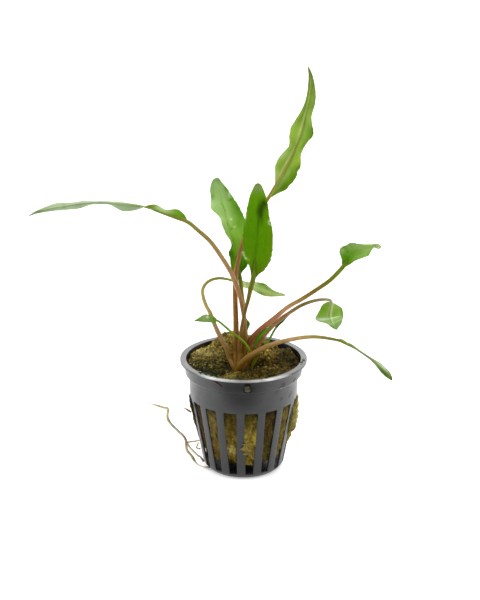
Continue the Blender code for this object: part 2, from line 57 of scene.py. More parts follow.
# Net pot
POT_HEIGHT = 50.0
LIP_RADIUS = 27.5
LIP_THICKNESS = 0.9
COLLAR_TOP_RADIUS = 25.6
COLLAR_RADIUS = 25.3
COLLAR_BOTTOM = 43.3
BAND_TOP_RADIUS = 23.6
BAND_RADIUS = 23.3
CONE_TOP = 33.0
CONE_LOW = 6.5
CONE_LOW_RADIUS = 18.5
BASE_RADIUS = 14.4
BASE_CORNER = 3.4
WALL = 0.8
SLOT_COUNT = 16
SLOT_TURN = 8.0
SLOT_STEP = 360.0 / SLOT_COUNT
SLOT_TOP = 33.4
SLOT_BOTTOM = 2.4
SLOT_HALF_TOP = 2.85
SLOT_HALF_BOTTOM = 1.65
SLOT_ROUND = 0.6
DIMPLE_TURN = 3.7
DIMPLE_HEIGHT = 45.9
DIMPLE_RADIUS = 2.1
DIMPLE_DEPTH = 0.6
PUNCH_DEPTH = 4.0
COLLAR_BULGE = 0.15
# Scratched places on the plastic: place and reach
PLASTIC_MARKS = (((19.3, -14.3, 41.6), 2.4), ((22.2, -12.5, 47.7), 1.6), ((18.0, -15.4, 39.6), 2.0))

# Painted shade and marks on the plastic: place, reach, shade of grey and strength. The first is a painted
# shadow in the top of the dimple, and the next two are painted shade under the lip at the front; the rest
# are soiled, dented and chipped places.
PAINTED_SHADE_AND_DENTS = (((1.6, -24.8, 47.5), 2.2, 0.0, 0.88), ((-1.2, -25.6, 45.6), 12.0, 0.0, 0.45),
                  ((0.0, -25.9, 48.0), 5.0, 0.0, 0.3), ((20.5, -11.7, 38.6), 0.7, 0.0, 0.75),
                  ((19.9, -12.5, 37.9), 0.75, 0.0, 0.8), ((19.4, -13.2, 37.2), 0.7, 0.0, 0.7),
                  ((20.9, -12.3, 38.1), 0.6, 0.2, 0.3), ((20.2, -13.1, 37.2), 0.6, 0.2, 0.3),
                  ((21.9, -13.1, 45.3), 0.9, 0.0, 0.7), ((21.3, -14.0, 44.8), 0.9, 0.0, 0.75),
                  ((22.6, -12.2, 44.9), 0.7, 0.0, 0.6), ((19.4, -16.3, 43.1), 0.5, 0.0, 0.6),
                  ((16.7, -19.1, 45.1), 1.6, 0.0, 0.4), ((15.4, -20.0, 44.0), 1.2, 0.0, 0.35),
                  ((15.9, -17.0, 37.9), 1.2, 0.0, 0.3), ((14.0, -19.0, 41.9), 1.8, 0.0, 0.2),
                  ((15.8, -19.4, 43.3), 0.9, 0.4, 0.5), ((19.7, -18.5, 48.9), 0.7, 0.5, 0.6))

# Rock wool
WOOL_TOP = 47.9
WOOL_TOP_RADIUS = 24.3
WOOL_BOTTOM = 4.5
HOLLOW_CENTRE = (-0.8, -4.2)
HOLLOW_RADIUS = 3.6
HOLLOW_BLEND = 6.0
HOLLOW_FLOOR = 45.3
WOOL_SIDE = ((48.5, 24.2), (45.0, 24.1), (43.9, 22.45), (33.0, 22.1), (20.0, 19.75), (9.5, 17.6),
             (7.5, 16.9), (6.0, 15.0), (4.5, 10.0))
# Lumps and hollows of the wool's top: x, y, radius, height
WOOL_LUMPS = (
    (-8.5, 18.5, 6.5, 5.4),
    (-1.0, 18.5, 5.0, 4.6),
    (5.0, 18.5, 4.0, 3.0),
    (11.0, 17.5, 4.5, 2.4),
    (-18.0, 8.5, 6.5, 1.7),
    (-21.0, -3.0, 5.5, 0.9),
    (9.2, 5.0, 3.8, 3.4),
    (7.6, -0.6, 2.8, -2.4),
    (19.0, 1.0, 6.5, 0.9),
    (14.0, -13.0, 6.0, 0.5),
    (-3.5, -17.5, 5.5, 0.9),
    (-12.0, -11.0, 5.0, -0.8),
    (-17.5, 15.5, 3.2, -2.2),
    (17.5, 14.5, 4.5, -1.2),
    (18.0, 9.0, 5.5, 2.3),
    (0.0, -23.0, 6.0, 0.5),
)
# Slots by their turn from the front: how far the wool stands out at rising heights, the gaps at
# its left and right edges in degrees, and the colours of its crests below and above
WOOL_SLOTS = {
    8.0: (((4.2, 0.0), (6.5, 0.9), (12.0, 1.4), (24.0, 1.4), (33.4, 0.8)), (0.0, 0.5), (136, 118, 48),
     (108, 92, 34)),
    -14.5: (((7.5, 0.0), (9.5, 0.7), (15.0, 1.2), (25.0, 1.0), (33.4, 0.6)), (0.0, 0.0), (122, 102, 38),
     (96, 80, 28)),
    -37.0: (((7.0, 0.0), (9.5, 0.8), (20.0, 0.9), (33.4, 0.7)), (0.6, 0.0), (122, 96, 42), (112, 98, 62)),
    -59.5: (((8.0, 0.0), (11.0, 0.6), (33.4, 0.6)), (1.4, 0.0), (84, 66, 26), (60, 44, 16)),
    -82.0: (((10.0, 0.0), (12.5, 1.1), (20.0, 1.6), (28.5, 2.1), (32.0, 1.5), (33.8, 0.5)), (0.0, 0.0),
     (110, 96, 50), (52, 42, 22)),
    -104.5: (((10.0, 0.0), (13.0, 1.3), (20.0, 1.6), (28.5, 2.2), (32.0, 1.5), (33.8, 0.5)), (0.0, 0.0),
     (66, 58, 30), (36, 30, 16)),
    30.5: (((6.0, 0.0), (8.0, 0.7), (20.0, 0.9), (33.4, 0.6)), (0.0, 0.8), (82, 70, 24), (76, 60, 24)),
    53.0: (((5.5, 0.0), (8.5, 0.9), (20.0, 1.1), (33.4, 0.9)), (0.0, 1.6), (120, 104, 42), (118, 100, 46)),
    75.5: (((6.0, 0.0), (8.0, 0.8), (17.5, 1.3), (19.5, 2.1), (26.0, 2.1), (33.8, 1.3)), (0.0, 0.0),
     (122, 110, 46), (130, 118, 58)),
    98.0: (((6.0, 0.0), (7.2, 1.2), (10.0, 2.4), (14.8, 2.7), (16.2, 4.2), (22.0, 3.6), (26.0, 3.0),
     (30.0, 2.3), (32.8, 0.9)), (0.0, 0.0), (186, 172, 100), (210, 198, 142)),
}
OTHER_SLOT = (((7.0, 0.0), (9.5, 0.8), (20.0, 1.0), (33.4, 0.7)), (0.3, 0.3),
              (124, 104, 42), (100, 84, 34))
# Places where the wool has its own colour, and one painted shadow: x, y, z, radius, colour, strength
WOOL_PATCHES = (
    (-18.5, 9.5, 49.0, 7.0, (216, 198, 128), 0.85),
    (-13.0, 17.0, 50.0, 5.0, (148, 126, 58), 0.7),
    (-5.0, 18.5, 53.0, 7.0, (170, 146, 68), 0.8),
    (6.0, 18.5, 51.0, 6.0, (172, 148, 78), 0.8),
    (-18.0, -4.0, 48.0, 4.5, (70, 66, 18), 0.8),
    (-20.0, -9.0, 48.0, 3.5, (30, 46, 20), 0.85),
    (-14.0, -12.0, 47.5, 5.5, (22, 34, 12), 0.95),
    (-8.5, -13.5, 47.0, 3.4, (30, 30, 2), 0.9),
    (-6.0, -17.8, 48.0, 3.2, (186, 162, 84), 0.85),
    (9.4, 5.2, 51.0, 4.4, (204, 174, 92), 0.9),
    # Painted shadow in the hollow under the pale clump beside the crown.
    (7.5, -0.4, 46.5, 3.4, (36, 28, 2), 0.95),
    (13.0, -3.5, 47.5, 4.5, (98, 72, 8), 0.7),
    (10.5, -6.5, 47.5, 3.5, (84, 70, 20), 0.6),
    (19.5, 1.0, 48.5, 5.0, (44, 44, 14), 0.85),
    (10.5, -14.0, 47.8, 5.0, (74, 62, 14), 0.7),
    (4.0, -13.0, 47.5, 4.0, (58, 50, 16), 0.7),
    (1.5, -18.5, 48.0, 3.6, (96, 78, 28), 0.6),
    (16.0, 12.0, 47.0, 6.0, (116, 96, 40), 0.7),
    (2.6, -21.0, 21.0, 3.6, (160, 140, 66), 0.8),
    (2.2, -20.3, 14.5, 2.6, (164, 144, 70), 0.7),
    (4.8, -17.6, 6.4, 1.8, (140, 100, 36), 0.8),
    (-3.6, -21.7, 27.8, 0.9, (76, 36, 14), 0.8),
    (-5.2, -19.4, 15.0, 1.8, (206, 190, 120), 0.8),
    (-3.5, -19.8, 22.0, 2.6, (122, 100, 40), 0.6),
    (-13.2, -15.1, 10.1, 1.0, (104, 50, 18), 0.9),
    (-12.0, -18.0, 22.0, 3.0, (126, 104, 42), 0.6),
    (23.5, -3.0, 25.5, 1.4, (222, 216, 172), 0.9),
    (23.8, 2.0, 21.0, 1.2, (212, 202, 152), 0.9),
)
# Frayed tufts: root and tip as turn, height and stand, number of fibres, spread and thickness in
# millimetres, and colour
WOOL_TUFTS = (
    ((6.0, 17.0, -0.2), (-4.4, 16.2, 0.7), 90, 2.1, 0.17, (166, 146, 76)),
    ((7.0, 17.5, -0.1), (-2.2, 18.6, 0.5), 40, 1.6, 0.15, (158, 138, 70)),
    ((6.5, 14.5, -0.1), (-1.2, 13.4, 0.5), 40, 1.5, 0.15, (160, 140, 72)),
    ((7.5, 15.0, -0.1), (0.5, 15.8, 0.5), 40, 1.8, 0.15, (170, 150, 80)),
    ((6.0, 22.0, 0.0), (9.5, 27.0, 0.4), 26, 1.5, 0.09, (176, 154, 76)),
    ((9.0, 14.0, 0.0), (13.8, 10.5, 0.4), 30, 1.3, 0.13, (152, 132, 60)),
    ((8.0, 9.0, 0.0), (12.8, 7.6, 0.3), 24, 1.0, 0.13, (142, 118, 50)),
    ((-12.0, 14.5, 0.0), (-18.5, 16.0, 0.4), 36, 1.3, 0.1, (190, 174, 108)),
    ((-13.0, 19.0, 0.0), (-10.5, 23.0, 0.3), 22, 1.3, 0.08, (150, 132, 66)),
    ((-36.0, 20.0, 0.0), (-33.5, 25.5, 0.3), 22, 1.4, 0.08, (146, 132, 80)),
    ((-35.0, 12.0, 0.0), (-37.5, 8.0, 0.2), 20, 1.2, 0.09, (116, 96, 40)),
    ((31.0, 26.0, 0.0), (28.5, 20.0, 0.2), 18, 1.2, 0.08, (116, 96, 42)),
    ((52.0, 22.0, 0.0), (54.0, 28.0, 0.3), 18, 1.2, 0.08, (146, 128, 62)),
    ((90.0, 27.0, 0.6), (98.0, 18.8, 2.0), 60, 1.8, 0.15, (164, 152, 84)),
    ((92.0, 26.0, 0.8), (98.0, 31.5, 1.0), 34, 1.6, 0.12, (176, 164, 100)),
    ((90.0, 20.0, 0.8), (99.0, 19.0, 2.2), 26, 1.0, 0.12, (220, 212, 170)),
    ((92.0, 17.0, 0.6), (96.0, 9.5, 0.5), 30, 1.0, 0.11, (146, 132, 62)),
    ((-84.0, 30.0, 0.4), (-92.0, 33.0, 0.5), 40, 2.0, 0.1, (60, 52, 30)),
)
# Flecks of algae on the lip: x, y, size, and how green
LIP_FLECKS = (
    (-18.6, -16.6, 0.7, 0.2), (-17.6, -17.9, 0.9, 0.7), (-16.6, -18.6, 0.6, 0.9),
    (-15.2, -19.5, 0.9, 0.6), (-14.4, -20.6, 0.5, 0.1), (-13.4, -21.0, 0.8, 0.8),
    (-12.2, -21.9, 0.6, 0.3), (-11.0, -22.4, 0.9, 0.7), (-10.4, -23.6, 0.5, 0.1),
    (-5.6, -25.0, 0.4, 0.5), (7.4, -24.3, 0.5, 0.7), (9.4, -23.7, 0.8, 1.0),
    (10.4, -23.2, 0.6, 0.9), (24.9, -5.6, 0.7, 0.6), (25.4, -3.9, 0.9, 0.8),
    (25.9, -2.2, 0.7, 0.5), (24.6, -7.4, 0.5, 0.3),
)
# Bits in the collar's dimple: turn, height, size and colour. The brown ones are grit; the pale grey ones low
# in it are painted light on the recess's lit floor.
DIMPLE_BITS = ((3.2, 46.0, 1.0, (92, 84, 62)), (2.6, 45.6, 0.6, (106, 88, 58)),
               (4.4, 46.4, 0.6, (112, 92, 50)), (2.4, 44.8, 0.8, (98, 98, 90)),
               (4.0, 44.7, 0.9, (108, 108, 98)), (5.4, 44.9, 0.7, (92, 92, 84)),
               (2.8, 46.5, 0.35, (140, 112, 66)))
FIBRE_ON_COLLAR = ((-13.2, -21.9, 48.3), (-12.0, -22.7, 47.9), (-10.8, -23.3, 47.3),
                   (-9.8, -23.8, 46.7), (-9.1, -24.1, 46.0))

FRONT = Vector((0.0, -0.935, 0.355))

# Camera, and the lights: name, turn or place, size and power
CAMERA_PLACE = (-0.00152, -0.53604, 0.26286)
CAMERA_TILT = 19.2
LAMPS = (("lamp above", (0.1, 0.1, 0.0), 0.5), ("lamp at left", (0.5, -0.75, 0.0), 0.6),
         ("lamp at right", (0.5, 0.75, 0.0), 0.5))
SOFTBOXES = (("softbox behind", (0.0, 1.6, 0.95), (2.2, 1.1), 25.0),
             ("softbox at left", (-1.3, -0.1, 0.55), (1.2, 1.1), 11.0),
             ("softbox at right", (1.3, -0.1, 0.55), (1.2, 1.1), 11.0),
             ("floor lamp left", (-0.17, -0.02, 0.2), (0.16, 0.2), 0.16),
             ("floor lamp right", (0.17, -0.02, 0.2), (0.16, 0.2), 0.16))

# Each leaf: the stalk's route and radii, the blade's midrib, and the blade's half-widths and
# lifts at even steps from its base to its tip. Left and right are as seen from the front by
# someone looking along the leaf. A lift above zero brings a margin forward, and a half-width
# below zero is past a twist, where the leaf shows its other face. From the share "blunt" on, the
# tip is rounded.
LEAVES = {
    "tall": {
        "stalk": ((-3.2, -1.4, 54.1), (-3.2, -1.2, 62.0), (-3.3, -0.8, 68.0), (-3.5, 0.4, 74.0),
         (-3.6, 1.5, 80.0), (-3.2, 3.0, 88.0), (-2.3, 3.7, 92.5), (-0.6, 4.8, 99.5), (3.5, 6.0, 109.0),
         (10.2, 7.0, 118.8)),
        "radii": (1.4, 1.15, 1.1, 0.98, 0.87, 0.8),
        "midrib": ((10.5, 7.0, 119.3), (16.3, 6.1, 130.6), (21.4, 3.5, 142.0), (24.6, -0.2, 153.8),
         (26.4, -4.6, 165.6), (26.4, -7.4, 171.3), (25.2, -10.0, 177.2)),
        "blunt": 1.0,
        "left": (0.1, 0.2, 0.4, 2.1, 3.9, 4.2, 4.0, 3.2, 2.6, 3.8, 4.5, 4.0, 3.3, 2.4, 1.6, 1.2, 1.1, 1.1,
         0.8, 0.4, 0.1),
        "right": (0.6, 2.3, 4.6, 5.4, 6.0, 5.5, 5.4, 4.0, 3.3, 3.8, 5.2, 4.7, 3.4, 2.5, 2.8, 2.9, 2.4, 1.8,
         1.4, 0.9, 0.1),
        "left_lift": (0.0, 0.3, -0.8, 0.6, 2.0, -0.6, 0.8, 0.4, 0.0, 0.0, 0.0),
        "right_lift": (0.0, -0.5, -1.0, 0.6, 2.2, -0.8, 1.6, 0.2, -0.4, 0.0, 0.0),
    },
    "back": {
        "stalk": ((0.9, 1.5, 54.1), (0.6, 2.0, 62.0), (0.2, 3.0, 69.0), (-0.2, 3.6, 73.5),
         (-0.8, 4.3, 78.5), (-1.3, 5.0, 83.4)),
        "radii": (1.0, 0.9, 0.85),
        "midrib": ((-1.3, 5.0, 83.9), (-3.3, 6.7, 94.7), (-6.1, 9.4, 105.2), (-9.1, 12.8, 115.3),
         (-11.4, 16.0, 125.7)),
        "blunt": 0.86,
        "left": (1.2, 2.3, 3.0, 3.1, 2.8, 2.9, 1.1, 1.0, 1.9, 2.3, 2.6, 2.5, 3.5, 5.1, 4.7, 4.1, 4.1, 3.8,
         3.6),
        "right": (0.2, 0.8, 3.6, 5.2, 6.0, 6.7, 7.2, 7.6, 7.9, 7.8, 7.5, 7.2, 6.7, 6.1, 5.2, 4.3, 3.3, 2.3,
         1.8),
        "left_lift": (0.0, 0.6, 1.2, 2.2, 0.6, 1.0, -0.4, 0.0, 0.0),
        "right_lift": (0.0, 0.4, 0.4, 0.2, 0.4, -0.6, 0.4, 0.0, 0.0),
    },
    "front": {
        "stalk": ((-1.7, -3.8, 54.1), (-1.3, -4.1, 60.8), (-0.9, -4.4, 64.3), (-0.1, -4.5, 69.2),
         (1.0, -4.4, 74.1), (2.1, -4.4, 78.6), (3.0, -4.4, 83.0), (3.9, -4.5, 86.6)),
        "radii": (1.0, 0.85, 0.75, 0.75, 0.98, 1.05),
        "midrib": ((4.0, -4.5, 87.1), (4.8, -5.0, 97.2), (5.8, -4.0, 107.3), (6.3, -1.7, 117.2),
         (5.9, 2.0, 126.8)),
        "blunt": 0.84,
        "left": (0.5, 1.1, 1.6, 2.6, 4.8, 5.7, 5.5, 5.7, 5.9, 6.0, 5.9, 5.7, 5.4, 5.1, 4.7, 4.1, 3.6, 2.9,
         2.6),
        "right": (0.8, 2.1, 4.3, 5.5, 6.6, 6.8, 6.9, 6.8, 6.6, 6.3, 5.9, 5.2, 4.4, 4.1, 3.8, 3.3, 2.9, 2.6,
         2.4),
        "left_lift": (0.0, 0.8, 0.9, 0.4, 0.3, 0.2, 0.2, 0.1, 0.0),
        "right_lift": (0.0, 0.6, 0.6, 0.3, 0.2, 0.4, 0.2, 0.1, 0.0),
    },
    "long": {
        "stalk": ((0.4, -1.5, 54.1), (0.4, -1.2, 63.0), (0.2, -1.2, 69.3), (-0.8, -2.0, 75.5),
         (-1.9, -2.4, 80.1), (-3.4, -2.8, 84.7), (-5.4, -3.6, 89.9), (-8.9, -5.0, 96.4),
         (-13.6, -7.2, 104.1), (-18.4, -9.0, 109.3), (-22.8, -10.9, 113.7)),
        "radii": (1.15, 1.0, 1.0, 0.98, 0.92, 0.82),
        "midrib": ((-23.2, -11.0, 114.0), (-32.2, -13.6, 117.8), (-41.4, -16.2, 121.6),
         (-51.0, -18.8, 123.6), (-60.7, -21.6, 124.7), (-70.6, -24.1, 124.2), (-79.5, -26.4, 123.0),
         (-85.0, -28.0, 121.0)),
        "blunt": 1.0,
        "left": (0.6, 0.4, 0.2, 0.1, 0.1, 0.0, -0.3, -0.7, -0.8, -0.8, -0.8, -1.0, -1.0, -0.9, -0.9, -0.8,
         -0.9, -1.2, -1.1, -1.1, -1.4, -1.8, -1.6, -1.2, -0.8, -0.6, -0.1),
        "right": (0.6, 2.7, 3.6, 2.8, 1.9, 2.4, 2.5, 1.4, -0.6, -1.9, -2.6, -2.8, -1.9, -0.8, -0.6, -0.7,
         -0.8, -1.4, -1.9, -1.9, -1.7, -1.5, -1.3, -1.1, -0.8, -0.3, -0.1),
        "left_lift": (0.0, -1.6, -2.4, -2.4, -1.8, -1.4, -1.2, -1.2, -1.2, -1.2, -1.1, -0.9, -0.5, 0.0),
        "right_lift": (0.0, -0.4, -0.6, 0.3, 1.4, -0.2, 0.5, 1.0, 1.0, 0.5, 0.3, 0.2, 0.1, 0.0),
    },
    "looped": {
        "stalk": ((-6.1, -2.5, 50.9), (-7.3, -2.8, 54.9), (-9.4, -3.0, 59.5), (-11.8, -2.8, 64.7),
         (-14.1, -2.4, 70.9), (-16.0, -2.0, 74.6), (-17.2, -1.0, 78.3), (-17.4, 0.0, 80.7),
         (-16.2, 1.5, 82.8), (-13.9, 3.5, 84.0), (-11.0, 5.5, 84.1), (-8.8, 6.9, 83.6)),
        "radii": (1.1, 1.05, 0.92, 0.78, 0.7, 0.66, 0.6),
        "midrib": ((-8.4, 7.1, 83.5), (-0.2, 9.5, 80.5), (9.1, 10.4, 77.3), (18.2, 11.0, 74.8)),
        "blunt": 0.93,
        "left": (0.3, 0.6, 0.7, 0.9, 1.0, 1.0, 1.4, 2.1, 2.4, 2.5, 1.7, 0.8, 0.4, 0.3, 0.3),
        "right": (0.4, 0.4, 0.6, 0.8, 1.2, 1.5, 1.6, 1.6, 2.1, 2.5, 2.6, 2.3, 1.8, 1.2, 1.0),
        "left_lift": (0.0, 0.6, 1.2, 1.4, 1.2, 0.6, 0.0),
        "right_lift": (0.0, -0.6, -1.2, -1.4, -1.2, -0.6, 0.0),
    },
    "small": {
        "stalk": ((2.2, -5.2, 53.8), (2.6, -6.0, 55.3), (1.0, -6.5, 58.4), (-1.3, -7.5, 61.3),
         (-4.9, -8.0, 64.4), (-9.0, -8.0, 68.2), (-10.6, -8.0, 69.5)),
        "radii": (0.55, 0.48, 0.46),
        "midrib": ((-11.0, -8.0, 69.8), (-14.9, -8.7, 70.4), (-20.9, -9.5, 70.1)),
        "blunt": 1.0,
        "left": (0.2, 0.9, 1.1, 1.1, 1.0, 0.9, 0.8, 0.6, 0.4, 0.2, 0.1),
        "right": (0.2, 1.1, 1.7, 2.0, 2.2, 2.3, 2.1, 1.6, 1.1, 0.6, 0.1),
        "left_lift": (0.0, -0.3, -0.5, -0.5, -0.2, 0.0),
        "right_lift": (0.0, -0.3, -0.6, -0.6, -0.2, 0.0),
    },
    "upper": {
        "stalk": ((2.5, -0.9, 54.8), (3.0, -0.5, 57.7), (7.1, 0.0, 62.5), (13.0, 0.5, 67.5),
         (19.0, 1.5, 72.5), (25.0, 2.5, 75.8), (31.1, 3.5, 79.6), (37.2, 5.0, 83.6), (42.3, 6.0, 88.9)),
        "radii": (1.3, 1.42, 1.15, 0.95, 0.92, 0.92, 0.95),
        "midrib": ((42.7, 6.0, 89.4), (45.5, 6.5, 94.1), (50.5, 7.0, 96.3), (55.9, 7.9, 97.6),
         (58.6, 8.0, 97.3)),
        "blunt": 1.0,
        "left": (0.8, 1.4, 2.0, 3.2, 4.8, 5.1, 4.5, 4.5, 4.0, 3.2, 2.7, 2.2, 1.8, 1.5, 1.2, 1.1, 1.0, 1.0,
         0.4),
        "right": (0.9, 1.5, 2.2, 2.6, 2.9, 3.1, 3.2, 3.3, 3.3, 3.3, 3.3, 3.3, 3.2, 2.2, 1.3, 0.5, 0.9, 1.1,
         0.6),
        "left_lift": (0.0, 0.8, 1.6, 2.0, 1.6, 1.0, 0.4, 0.0),
        "right_lift": (0.0, 0.6, 0.8, 0.8, 0.4, 0.2, 0.0, 0.0),
    },
    "hanging": {
        "stalk": ((5.2, 0.6, 54.0), (7.9, 1.6, 58.2), (11.5, 2.6, 62.4), (15.8, 3.0, 66.3),
         (20.4, 3.0, 69.8), (25.0, 3.0, 72.8), (29.9, 3.0, 74.7), (34.4, 3.0, 75.4), (37.2, 3.0, 74.9)),
        "radii": (1.1, 1.05, 0.9, 0.8, 0.7, 0.62),
        "midrib": ((38.2, 2.8, 73.9), (37.5, 2.1, 70.8), (37.3, 2.4, 67.3), (38.3, 3.3, 64.6),
         (40.2, 4.5, 61.0)),
        "blunt": 1.0,
        "left": (1.0, 4.3, 4.9, 5.2, 5.5, 5.6, 5.8, 6.1, 5.9, 5.4, 4.4, 3.2, 0.4),
        "right": (2.3, 3.6, 4.3, 4.6, 4.9, 5.6, 6.2, 3.4, 2.2, 1.7, 1.3, 0.8, 0.1),
        "left_lift": (0.0, -0.8, -1.2, -1.0, -0.6, -0.3, 0.0),
        "right_lift": (0.0, -0.8, -1.4, -1.2, -0.6, -0.3, 0.0),
    },
    "low": {
        "stalk": ((-2.4, -7.4, 47.4), (0.2, -8.1, 51.7), (5.7, -7.5, 55.6), (12.7, -6.0, 58.4),
         (19.6, -5.0, 60.0), (26.6, -4.0, 60.8), (32.6, -3.5, 60.6), (40.0, -3.0, 59.1)),
        "radii": (1.3, 1.3, 1.15, 0.97, 0.92, 0.85, 0.75, 0.6),
        "midrib": ((40.4, -3.0, 59.0), (47.1, -3.4, 56.0), (53.2, -4.3, 51.9), (58.8, -5.1, 47.1),
         (63.8, -6.0, 41.7)),
        "blunt": 0.95,
        "left": (0.6, 1.1, 1.0, 0.7, 0.9, 0.7, 0.55, 0.45, 0.45, 0.55, 0.6, 0.75, 0.95, 1.25, 1.5, 1.65,
         1.7, 1.8, 1.7, 1.2, 0.6),
        "right": (0.5, 0.4, 0.2, 0.1, 0.1, 0.1, 0.1, 0.1, 0.2, 0.3, 0.4, 0.5, 0.6, 0.8, 1.0, 1.2, 1.3, 1.2,
         1.0, 0.6, 0.3),
        "left_lift": (0.0, -1.4, -2.2, -2.6, -2.6, -2.4, -2.0, -1.2, 0.0),
        "right_lift": (0.0, 1.0, 1.8, 2.4, 2.6, 2.4, 2.0, 1.2, 0.0),
    },
    "young": {
        "stalk": ((5.4, -4.0, 54.6), (4.9, -4.0, 56.4)),
        "radii": (0.5, 0.45),
        "midrib": ((4.8, -4.0, 56.7), (6.3, -3.7, 60.2), (9.2, -3.0, 63.1), (12.3, -2.4, 65.3)),
        "blunt": 1.0,
        "left": (0.4, 0.7, 0.7, 0.7, 0.7, 0.7, 0.65, 0.5, 0.1),
        "right": (0.4, 0.6, 0.75, 0.75, 0.65, 0.5, 0.4, 0.3, 0.1),
        "left_lift": (0.0, 0.2, 0.3, 0.3, 0.1, 0.0),
        "right_lift": (0.0, 0.2, 0.3, 0.3, 0.1, 0.0),
    },
    "thin": {
        "stalk": ((8.9, 3.6, 50.4), (9.0, 2.6, 53.0), (9.6, 1.8, 55.0), (11.7, 2.9, 58.2),
         (13.5, 4.3, 61.2)),
        "radii": (0.55, 0.55, 0.52, 0.45),
        "midrib": ((13.6, 4.4, 61.4), (16.4, 5.2, 64.6), (20.0, 6.0, 67.6)),
        "blunt": 1.0,
        "left": (0.2, 0.6, 0.8, 0.9, 0.8, 0.8, 0.8, 0.6, 0.2),
        "right": (0.5, 0.5, 0.5, 0.6, 0.7, 0.6, 0.4, 0.3, 0.2),
        "left_lift": (0.0, 0.2, 0.2, 0.1, 0.0),
        "right_lift": (0.0, 0.2, 0.2, 0.1, 0.0),
    },
    "tiny": {
        "stalk": ((0.0, 1.6, 50.4), (0.8, 3.2, 53.5), (1.4, 4.4, 57.0), (1.4, 5.0, 59.8)),
        "radii": (0.6, 0.55, 0.45),
        "midrib": ((1.3, 5.0, 60.2), (1.4, 5.3, 63.1), (1.0, 5.6, 66.2)),
        "blunt": 1.0,
        "left": (0.4, 0.8, 1.1, 1.3, 1.5, 1.5, 1.3, 0.8, 0.2),
        "right": (0.3, 0.6, 0.8, 1.1, 1.4, 1.3, 0.8, 0.4, 0.1),
        "left_lift": (0.0, 0.2, 0.2, 0.1, 0.0),
        "right_lift": (0.0, 0.2, 0.2, 0.1, 0.0),
    },
}
